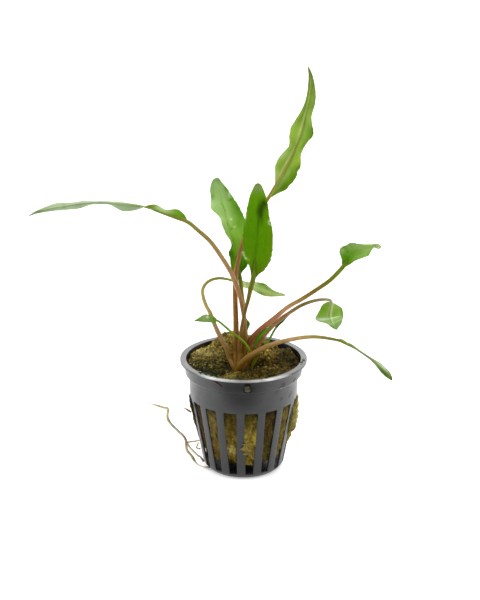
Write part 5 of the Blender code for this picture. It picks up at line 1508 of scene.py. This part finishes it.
def wool_surface(settings):
    columns = 400
    top_rings = 74
    side_rings = 92
    points = []
    tones = []
    top_amounts = []
    side_amounts = []

    def add(place, rise, inside, turn, top, side):
        points.append(place)
        tones.append(wool_tone(place, rise, inside, turn))
        top_amounts.append(max(0.0, top))
        side_amounts.append(max(0.0, side))

    base, _ = wool_height(0.0, 0.0)
    add(Vector((0.0, 0.0, base)), 0.0, -1.0, 0.0, 0.1, 0.0)
    for ring in range(1, top_rings + 1):
        share = ring / top_rings
        for column in range(columns):
            angle = math.tau * column / columns
            radius = WOOL_TOP_RADIUS * share * (1.0 - 0.008 * (1 + math.sin(angle * 9)) * share)
            x = radius * math.sin(angle)
            y = -radius * math.cos(angle)
            height, blend = wool_height(x, y)
            flat = Vector((x, y, 0.0))
            coarse = rough(flat, 3.2)
            fine = rough(flat + Vector((9.0, 3.0, 5.0)), 1.0)
            height += (0.75 * coarse + 0.48 * fine) * (0.35 + 0.65 * blend)
            fall = smooth_step(0.92, 1.0, share)
            fall *= 0.35 + 1.5 * smooth_step(-0.1, 0.8, -math.cos(angle))
            # rise carries the painted shade and light of the top; the wool's fall at the rim gets more
            # painted shade.
            rise = coarse * 0.7 + fine * 0.7 - fall * 0.3
            full = 0.4 + 0.6 * smooth_step(0.0, 0.6, coarse)
            add(Vector((x, y, height - fall)), rise, -1.0, 0.0, full, 0.0)
    rim = len(points) - columns
    for ring in range(1, side_rings + 1):
        share = ring / side_rings
        for column in range(columns):
            angle = math.tau * column / columns
            turn = math.degrees(angle)
            turn = turn if turn < 180 else turn - 360
            start = points[rim + column].z
            height = start + (WOOL_BOTTOM - start) * share
            radius, inside = wool_side(turn, height)
            arc = Vector((turn * 0.36, height, 0.0))
            folds = rough(Vector((arc.x / 1.9, arc.y / 3.4, 2.0)), 1.0, 3)
            fine = rough(Vector((arc.x, arc.y * 0.8, 8.0)), 0.9)
            ragged = 1.0 + 1.2 * smooth_step(70.0, 90.0, turn)
            radius += (0.4 * folds + 0.2 * fine) * inside * ragged - 0.15 * (1.0 - inside)
            spot = Vector((radius * math.sin(angle), -radius * math.cos(angle), height))
            # The folds' rise carries the painted shade and light of the side.
            add(spot, folds * 0.9 + fine * 0.35, inside, turn, 0.0, inside)
    faces = [(0, 1 + i, 1 + (i + 1) % columns) for i in range(columns)]
    for ring in range(top_rings + side_rings - 1):
        for column in range(columns):
            a = 1 + ring * columns + column
            b = 1 + ring * columns + (column + 1) % columns
            faces.append((a, a + columns, b + columns, b))
    last = len(points) - columns
    points.append(Vector((0.0, 0.0, WOOL_BOTTOM)))
    tones.append(linear((30, 24, 10)))
    top_amounts.append(0.0)
    side_amounts.append(0.0)
    faces += [(len(points) - 1, last + (i + 1) % columns, last + i) for i in range(columns)]
    mesh = mesh_of("rock_wool_body", points, faces)
    add_tints(mesh, tones)
    add_values(mesh, "amount", "FLOAT", "value", top_amounts)
    add_values(mesh, "side_amount", "FLOAT", "value", side_amounts)
    mesh.shade_smooth()
    return mesh


def tuft_lines():
    """Frayed fibres that run from the wool in a slot to a tip that stands clear of the wall."""
    lines = []
    random.seed(23)
    for root, tip, count, spread, thickness, colour in WOOL_TUFTS:
        tone = linear(colour)
        for _ in range(count):
            begin = []
            turn = root[0] + random.gauss(0.0, spread * 0.9)
            height = root[1] + random.gauss(0.0, spread * 0.8)
            close = random.random() ** 0.7
            for share in (0.0, 0.25, 0.5, 0.75, 1.0):
                bow = math.sin(math.pi * share)
                here_turn = turn + (tip[0] - turn) * share * close + random.gauss(0.0, 0.2)
                pull = share ** 0.55 * close ** 0.6
                here_height = height + (tip[1] - height) * pull + random.gauss(0.0, 0.1)
                stand = root[2] + (tip[2] - root[2]) * share + 0.25 * bow
                angle = math.radians(here_turn)
                radius = cone_radius(min(here_height, 33.0)) + stand - 0.35 * (1.0 - close)
                begin.append((radius * math.sin(angle), -radius * math.cos(angle), here_height))
            route = even_route(begin, 9)
            width = thickness * random.uniform(0.5, 1.2)
            sizes = [width * (1.0 - 0.8 * i / 8) for i in range(9)]
            light = random.uniform(0.55, 1.25)
            lines.append((route, sizes, [tone * light * (0.75 + 0.35 * i / 8) for i in range(9)]))
    return lines


def curl_shape(name, length, bend, thickness, colour, seed):
    """One thin curled fibre that stands on the origin."""
    random.seed(seed)
    points = []
    faces = []
    steps = 5
    for i in range(steps + 1):
        t = i / steps
        angle = bend * t
        centre = Vector((math.sin(angle) * length * 0.5 * t, math.cos(angle * 0.7) * 0.15 * t,
                         length * (0.15 + 0.45 * t - 0.25 * t * t)))
        for side in range(3):
            turn = math.tau * side / 3
            ring = Vector((0.0, math.cos(turn), math.sin(turn)))
            points.append(centre + ring * thickness * (1.0 - 0.6 * t))
    for i in range(steps):
        for side in range(3):
            a = i * 3 + side
            b = i * 3 + (side + 1) % 3
            faces.append((a, b, b + 3, a + 3))
    faces += [(2, 1, 0), (steps * 3, steps * 3 + 1, steps * 3 + 2)]
    mesh = mesh_of(name, points, faces)
    add_tints(mesh, [Vector(colour)] * len(points))
    mesh.shade_smooth()
    return plain_object(name, mesh)


def crumb_shape(name, radius, colour, seed):
    """One small uneven crumb about the origin."""
    bm = bmesh.new()
    bmesh.ops.create_icosphere(bm, subdivisions=1, radius=radius * MM)
    for vert in bm.verts:
        vert.co *= 1.0 + 0.6 * noise.noise(vert.co / MM / radius * 1.3 + Vector((seed, 0.0, 0.0)))
    mesh = bpy.data.meshes.new(name)
    bm.to_mesh(mesh)
    bm.free()
    add_tints(mesh, [Vector(colour)] * len(mesh.vertices))
    return plain_object(name, mesh)


def build_wool(settings):
    surface = wool_surface(settings)
    surface.materials.append(wool_finish(settings))
    body = plain_object("rock_wool_body", surface)
    fibre = crumb_finish("wool_fibre", 0.55)
    bare = surface.copy()
    bare.materials.clear()
    layers = []
    kinds = (
        (1.8, 1.9, 0.045, (2.1, 2.0, 1.7), 0.8),
        (1.5, -2.4, 0.05, (1.4, 1.35, 1.0), 1.2),
        (1.3, 2.8, 0.06, (1.1, 1.05, 0.8), 1.2),
        (1.6, -1.4, 0.04, (0.6, 0.65, 0.5), 0.6),
    )
    for index, (length, bend, thickness, colour, share) in enumerate(kinds):
        shape = curl_shape("curl", length, bend, thickness, colour, index)
        layers.append(strewn("fibres", bare, shape, fibre, settings.fibre_density * share,
                             (0.5, 1.35), 1.3, 11 + index))
        bpy.data.objects.remove(shape)
    fibres = joined("rock_wool_fibres", layers)
    layers = []
    for index, (radius, colour, share) in enumerate((
            (0.22, (1.9, 1.85, 1.6), 0.6), (0.26, (1.5, 1.3, 0.8), 1.2), (0.26, (0.5, 0.5, 0.4), 1.1),
            (0.18, (3.6, 3.5, 3.2), 0.3), (0.22, (0.7, 1.0, 0.5), 0.5))):
        shape = crumb_shape("crumb", radius, colour, index * 3.7)
        layers.append(strewn("crumbs", bare, shape, fibre, settings.crumb_density * share,
                             (0.5, 1.4), 3.0, 31 + index))
        bpy.data.objects.remove(shape)
    crumbs = joined("rock_wool_crumbs", layers)
    bpy.data.meshes.remove(bare)
    tufts = strands("rock_wool_tufts", tuft_lines(), fibre, 6)
    hand_over(body, ("wool_plug",))
    for piece in (fibres, crumbs, tufts):
        hand_over(piece)


# Crown and stalks

def build_crown(settings):
    """The crown's foot, where the leaf stalks grow together over the wool, as one skin."""
    lines = []
    for foot in STALK_FEET.values():
        if len(foot) != 3:
            continue
        route = even_route(foot, 12)
        sizes = [p[3] * (1.1 - 0.28 * i / 11) for i, p in enumerate(route)]
        lines.append(([Vector(p[:3]) for p in route], sizes, [Vector((0.1, 0.1, 0.1))] * 12))
    core = even_route(((-1.5, -4.9, 45.2), (-1.5, -4.4, 47.0), (-1.3, -3.6, 49.0)), 8)
    lines.append((core, [2.4, 2.5, 2.5, 2.3, 2.1, 1.8, 1.5, 1.1], [Vector((0.1, 0.1, 0.1))] * 8))
    finish = crown_finish()
    crown = strands("leaf_sheath_crown", lines, finish, 18)
    skin = crown.modifiers.new("skin", "REMESH")
    skin.mode = "VOXEL"
    skin.voxel_size = settings.skin_detail
    skin.use_smooth_shade = True
    calm = crown.modifiers.new("calm", "SMOOTH")
    calm.iterations = 4
    frozen(crown)
    one_finish(crown.data, finish)
    tones = []
    ladder = [linear(c) for c in ((50, 36, 8), (84, 56, 12), (104, 70, 22), (116, 76, 34))]
    for vert in crown.data.vertices:
        place = vert.co / MM
        tone = straight(ladder, (place.z - 45.3) / 6.5)
        tone = tone.lerp(linear((104, 96, 20)), 0.4 * smooth_step(-0.2, 0.5, rough(place, 2.2)))
        # Painted light: the crown's left side is made lighter.
        tone = tone.lerp(linear((150, 124, 62)), 0.45 * smooth_step(-3.4, -5.0, place.x))
        tones.append(tone)
    for name in [a.name for a in crown.data.attributes if a.name in ("tint", "grain")]:
        crown.data.attributes.remove(crown.data.attributes[name])
    add_tints(crown.data, tones)
    hand_over(crown, ("crown",))


def stalk_line(leaf, look, foot, steps=96):
    """Points, radii and colours along a stalk, from the crown's foot to a little way up the blade."""
    marks = [Vector(p) for p in foot]
    for index, place in enumerate(leaf["stalk"]):
        size = between(leaf["radii"], index / (len(leaf["stalk"]) - 1))
        marks.append(Vector((*place, size)))
    rib = even_route(leaf["midrib"], 40)
    for step, share in ((3, 0.75), (6, 0.45), (9, 0.15)):
        marks.append(Vector((*rib[step], leaf["radii"][-1] * share)))
    route = even_route(marks, steps)
    tones = [linear(c) for c in look["stalk"]]
    radii = []
    colours = []
    for index, mark in enumerate(route):
        place = Vector(mark[:3])
        share = index / (steps - 1)
        radii.append(mark[3] * (1.0 + 0.05 * rough(place, 2.4, 2)))
        colours.append(straight(tones, share) * (1.0 + 0.16 * rough(place, 3.0, 3)))
    return [Vector(mark[:3]) for mark in route], radii, colours


def sheet_point(leaf, look, route, along, across):
    """Place on a blade: along is 0 at its base and 1 at its tip, across -1 at left and 1 at right."""
    middle = between(route, along)
    before = between(route, along - 0.5 / len(route))
    after = between(route, along + 0.5 / len(route))
    tangent = (after - before).normalized()
    left = FRONT.cross(tangent).normalized()
    forward = tangent.cross(left).normalized()
    side = "left" if across < 0 else "right"
    width = between(leaf[side], along)
    if along > leaf["blunt"]:
        over = (along - leaf["blunt"]) / (1.0 - leaf["blunt"])
        width = max(0.03, width * math.sqrt(max(0.0, 1.0 - over * over)))
    lift = between(leaf[side + "_lift"], along)
    seed = 11.0 if across < 0 else 37.0
    reach = abs(across) ** 3 * math.sin(math.pi * min(1.0, along * 1.1)) ** 0.5
    wave = noise.noise(Vector((along * 13.0, seed, len(route))))
    nibble = noise.noise(Vector((along * 34.0, seed, 5.0)))
    width *= 1.0 + 0.05 * nibble * abs(across) ** 2
    place = middle - left * width * across
    place += forward * (lift * across * across + look["ripple"] * 1.6 * wave * reach)
    return place, width


def blade_mesh(name, leaf, look, rows, columns, settings):
    """A closed thin sheet with a raised midrib under it, and its colours."""
    route = even_route(leaf["midrib"], 14)
    length = sum((b - a).length for a, b in zip(route, route[1:]))
    shares = []
    for j in range(columns + 1):
        s = -1.0 + 2.0 * j / columns
        shares.append(math.copysign(abs(s) ** 1.5, s))
    grid = []
    widths = []
    alongs = []
    for i in range(rows + 1):
        along = 1.0 - (1.0 - i / rows) ** 1.25
        alongs.append(along)
        pairs = [sheet_point(leaf, look, route, along, s) for s in shares]
        grid.append([p for p, _ in pairs])
        widths.append([w for _, w in pairs])
    front_tones = [linear(c) for c in look["front"]]
    back_tones = [linear(c) for c in look["back"]]
    rib_tones = [linear(c) for c in look["rib"]]
    edge_tone = linear(look["edge"])
    spots = [(*spot[:4], linear(spot[4]), spot[5]) for spot in look["spots"]]
    points = []
    tones = []
    places = []
    rib_radius = leaf["radii"][-1]
    for face, tones_along in (("front", front_tones), ("back", back_tones)):
        sign = 1.0 if face == "front" else -1.0
        under = look["under"] == face
        for i, along in enumerate(alongs):
            radius = rib_radius * (1.0 - along) ** 0.7 + 0.05
            for j, across in enumerate(shares):
                here = grid[i][j]
                up = grid[min(i + 1, rows)][j] - grid[max(i - 1, 0)][j]
                over = grid[i][min(j + 1, columns)] - grid[i][max(j - 1, 0)]
                normal = over.cross(up)
                normal = normal.normalized() if normal.length > 1e-9 else FRONT
                aside = abs(across) * math.hypot(widths[i][j], 1.0)
                ridge = radius * math.exp(-((aside / radius) ** 2) * 1.3)
                thick = settings.blade_thickness / MM * (0.5 - 0.32 * abs(across) ** 4)
                lift = thick + ridge * (0.85 if under else -0.18)
                if along < 0.06:
                    lift = max(lift, ridge * 0.8 * (1.0 - along / 0.06) + thick)
                points.append(here + normal * sign * lift)
                tone = straight(tones_along, along)
                clear = 1.0 if (face == "front") == (widths[i][j] >= 0) else 0.4
                for v, u, reach_v, reach_u, colour, strength in spots:
                    gap = ((along - v) / reach_v) ** 2 + ((across - u) / reach_u) ** 2
                    if gap < 5.0:
                        tone = tone.lerp(colour, clear * strength * math.exp(-gap))
                rib_share = math.exp(-((aside / (radius * 0.75)) ** 2)) * (0.85 if under else 0.35)
                tone = tone.lerp(straight(rib_tones, along), rib_share)
                if abs(across) > 0.97:
                    tone = tone.lerp(edge_tone, 0.75)
                tones.append(tone * (1.0 + 0.12 * rough(here, 5.0, 3)))
                places.append((across * widths[i][j] * MM, along * length * MM, across))
    faces = []
    stride = columns + 1
    layer = (rows + 1) * stride
    for i in range(rows):
        for j in range(columns):
            a = i * stride + j
            faces.append((a, a + 1, a + stride + 1, a + stride))
            b = a + layer
            faces.append((b, b + stride, b + stride + 1, b + 1))
    border = list(range(columns))
    border += [i * stride + columns for i in range(rows)]
    border += [rows * stride + j for j in range(columns, 0, -1)]
    border += [i * stride for i in range(rows, 0, -1)]
    for a, b in zip(border, border[1:] + border[:1]):
        faces.append((b, a, a + layer, b + layer))
    mesh = mesh_of(name, points, faces)
    add_tints(mesh, tones)
    add_values(mesh, "place", "FLOAT_VECTOR", "vector", places)
    mesh.shade_smooth()
    return mesh


def build_stalks(settings):
    finish = stalk_finish()
    for name, leaf in LEAVES.items():
        line = stalk_line(leaf, LOOKS[name], STALK_FEET[name])
        piece = strands(name + "_leaf_stalk", [line], finish, settings.stalk_sides)
        hand_over(piece, (name + "_stalk",))


def build_blades(settings):
    finish = leaf_finish(settings)
    for name, leaf in LEAVES.items():
        large = name in ("tall", "back", "front", "long")
        mesh = blade_mesh(name + "_leaf_blade", leaf, LOOKS[name], 170 if large else 90,
                          46 if large else 36, settings)
        mesh.materials.append(finish)
        piece = plain_object(name + "_leaf_blade", mesh)
        hand_over(piece, (name + "_blade",))


def build_roots(settings):
    finish = root_finish()
    for name, (points, radii, ladder) in ROOTS.items():
        steps = 110 if name == "root_main" else 30
        route = even_route(points, steps)
        tones = [linear(c) for c in ladder]
        sizes = []
        colours = []
        for index, place in enumerate(route):
            share = index / (steps - 1)
            knot = max(0.0, rough(place, 2.6, 2))
            sizes.append(between(radii, share) * (1.0 + 0.25 * knot))
            tone = straight(tones, share)
            colours.append(tone.lerp(linear((120, 92, 52)), min(0.5, knot * 0.6)))
        piece = strands("pale_" + name, [(route, sizes, colours)], finish, 12)
        hand_over(piece, (name,))


# Settings

def colour_setting(label, text, default):
    return FloatVectorProperty(name=label, description=text, subtype="COLOR", size=3, min=0.0,
                               max=1.0, default=default)


def length_setting(label, text, default):
    return FloatProperty(name=label, description=text, default=default, min=0.0, precision=5,
                         subtype="DISTANCE", unit="LENGTH")


class CryptocorynePotSettings(bpy.types.PropertyGroup):
    wall: length_setting("Wall", "Thickness of the pot's wall", 0.00085)
    edge: length_setting("Soft Edge", "How far the moulded edges are rounded", 0.0002)
    plastic: colour_setting("Plastic", "Colour of the moulded plastic", (0.017, 0.0175, 0.018))
    dust: colour_setting("Dust", "Colour of the film of dust", (0.3, 0.29, 0.26))


class CryptocoryneWoolSettings(bpy.types.PropertyGroup):
    fibre_density: FloatProperty(name="Fibre Density", default=480000.0, min=0.0,
                                 description="Loose fibres on each square metre of wool")
    crumb_density: FloatProperty(name="Crumb Density", default=300000.0, min=0.0,
                                 description="Crumbs on each square metre of wool")


class CryptocorynePlantSettings(bpy.types.PropertyGroup):
    blade_thickness: length_setting("Blade Thickness", "Thickness of a leaf beside its midrib",
                                    0.0003)
    skin_detail: length_setting("Crown Detail", "Finest detail of the crown's skin", 0.00022)
    vein_strength: FloatProperty(name="Vein Strength", default=0.3, min=0.0, max=1.0,
                                 description="How much lighter the long veins are",
                                 subtype="FACTOR")
    stalk_sides: IntProperty(name="Stalk Sides", default=16, min=6, max=48,
                             description="Faces round a stalk")


class CryptocoryneStageSettings(bpy.types.PropertyGroup):
    floor_size: length_setting("Floor", "Width of the floor", 12.0)
    floor_front: length_setting("Floor Front", "How far the floor reaches in front of the pot", 0.118)
    floor_colour: colour_setting("Floor Colour", "Colour of the floor", (0.93, 0.93, 0.93))
    sky: FloatProperty(name="Soft Light", default=0.41, min=0.0,
                       description="Strength of the even light from all around")
    lamp: FloatProperty(name="Lamps", default=0.9, min=0.0,
                        description="Strength of the broad lamps above")
    softbox: FloatProperty(name="Softboxes", default=0.9, min=0.0,
                           description="Strength of the softboxes behind and at the sides")
    lens: FloatProperty(name="Lens", default=80.0, min=10.0, subtype="DISTANCE_CAMERA",
                        description="Focal length of the camera in millimetres")


# Operators

class MakePot(bpy.types.Operator):
    """Build the slotted net pot"""
    bl_idname = "cryptocoryne.make_pot"
    bl_label = "Net Pot"

    def execute(self, context):
        build_pot(context.scene.cryptocoryne_pot)
        return {"FINISHED"}


class MakeFlecks(bpy.types.Operator):
    """Build the bits that stick to the pot"""
    bl_idname = "cryptocoryne.make_flecks"
    bl_label = "Stuck Bits"

    def execute(self, context):
        build_flecks(context.scene.cryptocoryne_pot)
        return {"FINISHED"}


class MakeWool(bpy.types.Operator):
    """Build the rock wool with its loose fibres and crumbs"""
    bl_idname = "cryptocoryne.make_wool"
    bl_label = "Rock Wool"

    def execute(self, context):
        build_wool(context.scene.cryptocoryne_wool)
        return {"FINISHED"}


class MakeCrown(bpy.types.Operator):
    """Build the crown of grown-together leaf sheaths"""
    bl_idname = "cryptocoryne.make_crown"
    bl_label = "Crown"

    def execute(self, context):
        build_crown(context.scene.cryptocoryne_plant)
        return {"FINISHED"}


class MakeStalks(bpy.types.Operator):
    """Build every leaf stalk"""
    bl_idname = "cryptocoryne.make_stalks"
    bl_label = "Leaf Stalks"

    def execute(self, context):
        build_stalks(context.scene.cryptocoryne_plant)
        return {"FINISHED"}


class MakeBlades(bpy.types.Operator):
    """Build every leaf blade"""
    bl_idname = "cryptocoryne.make_blades"
    bl_label = "Leaf Blades"

    def execute(self, context):
        build_blades(context.scene.cryptocoryne_plant)
        return {"FINISHED"}


class MakeRoots(bpy.types.Operator):
    """Build the roots outside the pot"""
    bl_idname = "cryptocoryne.make_roots"
    bl_label = "Roots"

    def execute(self, context):
        build_roots(context.scene.cryptocoryne_plant)
        return {"FINISHED"}


class MakeStage(bpy.types.Operator):
    """Add the floor, the lights and the camera"""
    bl_idname = "cryptocoryne.make_stage"
    bl_label = "Floor, Lights and Camera"

    def execute(self, context):
        scene = context.scene
        settings = scene.cryptocoryne_stage
        half = settings.floor_size / 2
        near = -settings.floor_front
        corners = [(-half, near, 0.0), (half, near, 0.0), (half, half, 0.0), (-half, half, 0.0)]
        mesh = bpy.data.meshes.new("pale_floor")
        mesh.from_pydata(corners, [], [(0, 1, 2, 3)])
        mesh.materials.append(floor_finish(settings))
        plain_object("pale_floor", mesh)
        world = bpy.data.worlds.new("soft studio")
        world.use_nodes = True
        sky = world.node_tree.nodes["Background"].inputs
        sky["Color"].default_value = (1.0, 1.0, 1.0, 1.0)
        sky["Strength"].default_value = settings.sky
        scene.world = world
        for name, turn, strength in LAMPS:
            data = bpy.data.lights.new(name, "SUN")
            data.energy = settings.lamp * strength
            data.angle = math.radians(70.0)
            lamp = bpy.data.objects.new(name, data)
            lamp.rotation_euler = turn
            scene.collection.objects.link(lamp)
        for name, place, size, power in SOFTBOXES:
            data = bpy.data.lights.new(name, "AREA")
            data.shape = "RECTANGLE"
            data.size = size[0]
            data.size_y = size[1]
            data.energy = settings.softbox * power
            lamp = bpy.data.objects.new(name, data)
            lamp.location = place
            aim = Vector((0.0, 0.0, 0.06)) - Vector(place)
            if name.startswith("floor"):
                aim = Vector((0.0, 0.0, -1.0))
                data.spread = math.radians(70.0)
            lamp.rotation_euler = aim.to_track_quat("-Z", "Y").to_euler()
            lamp.visible_camera = False
            scene.collection.objects.link(lamp)
        data = bpy.data.cameras.new("camera")
        data.lens = settings.lens
        data.sensor_width = 36.0
        data.clip_start = 0.01
        camera = bpy.data.objects.new("camera", data)
        camera.location = CAMERA_PLACE
        camera.rotation_euler = (math.radians(90.0 - CAMERA_TILT), 0.0, 0.0)
        scene.collection.objects.link(camera)
        scene.camera = camera
        scene.view_settings.view_transform = "Standard"
        return {"FINISHED"}


class CryptocorynePanel(bpy.types.Panel):
    """Buttons and settings for the potted cryptocoryne"""
    bl_idname = "VIEW3D_PT_cryptocoryne"
    bl_label = "Potted Cryptocoryne"
    bl_space_type = "VIEW_3D"
    bl_region_type = "UI"
    bl_category = "Cryptocoryne"

    def draw(self, context):
        for group, steps in PANEL_GROUPS:
            box = self.layout.box()
            for step in steps:
                box.operator(step.bl_idname)
            settings = getattr(context.scene, group)
            for key in settings.bl_rna.properties.keys():
                if key not in ("rna_type", "name"):
                    box.prop(settings, key)


SETTINGS = (
    ("cryptocoryne_pot", CryptocorynePotSettings),
    ("cryptocoryne_wool", CryptocoryneWoolSettings),
    ("cryptocoryne_plant", CryptocorynePlantSettings),
    ("cryptocoryne_stage", CryptocoryneStageSettings),
)
PANEL_GROUPS = (
    ("cryptocoryne_pot", (MakePot, MakeFlecks)),
    ("cryptocoryne_wool", (MakeWool,)),
    ("cryptocoryne_plant", (MakeCrown, MakeStalks, MakeBlades, MakeRoots)),
    ("cryptocoryne_stage", (MakeStage,)),
)
OPERATORS = (MakePot, MakeFlecks, MakeWool, MakeCrown, MakeStalks, MakeBlades, MakeRoots, MakeStage)


def register():
    for name, kind in SETTINGS:
        bpy.utils.register_class(kind)
        setattr(bpy.types.Scene, name, PointerProperty(type=kind))
    for kind in OPERATORS + (CryptocorynePanel,):
        bpy.utils.register_class(kind)


def unregister():
    for kind in (CryptocorynePanel,) + OPERATORS[::-1]:
        bpy.utils.unregister_class(kind)
    for name, kind in SETTINGS:
        delattr(bpy.types.Scene, name)
        bpy.utils.unregister_class(kind)


def main():
    register()
    bpy.ops.cryptocoryne.make_pot()
    bpy.ops.cryptocoryne.make_flecks()
    bpy.ops.cryptocoryne.make_wool()
    bpy.ops.cryptocoryne.make_crown()
    bpy.ops.cryptocoryne.make_stalks()
    bpy.ops.cryptocoryne.make_blades()
    bpy.ops.cryptocoryne.make_roots()
    bpy.ops.cryptocoryne.make_stage()


if __name__ == "__main__":
    main()
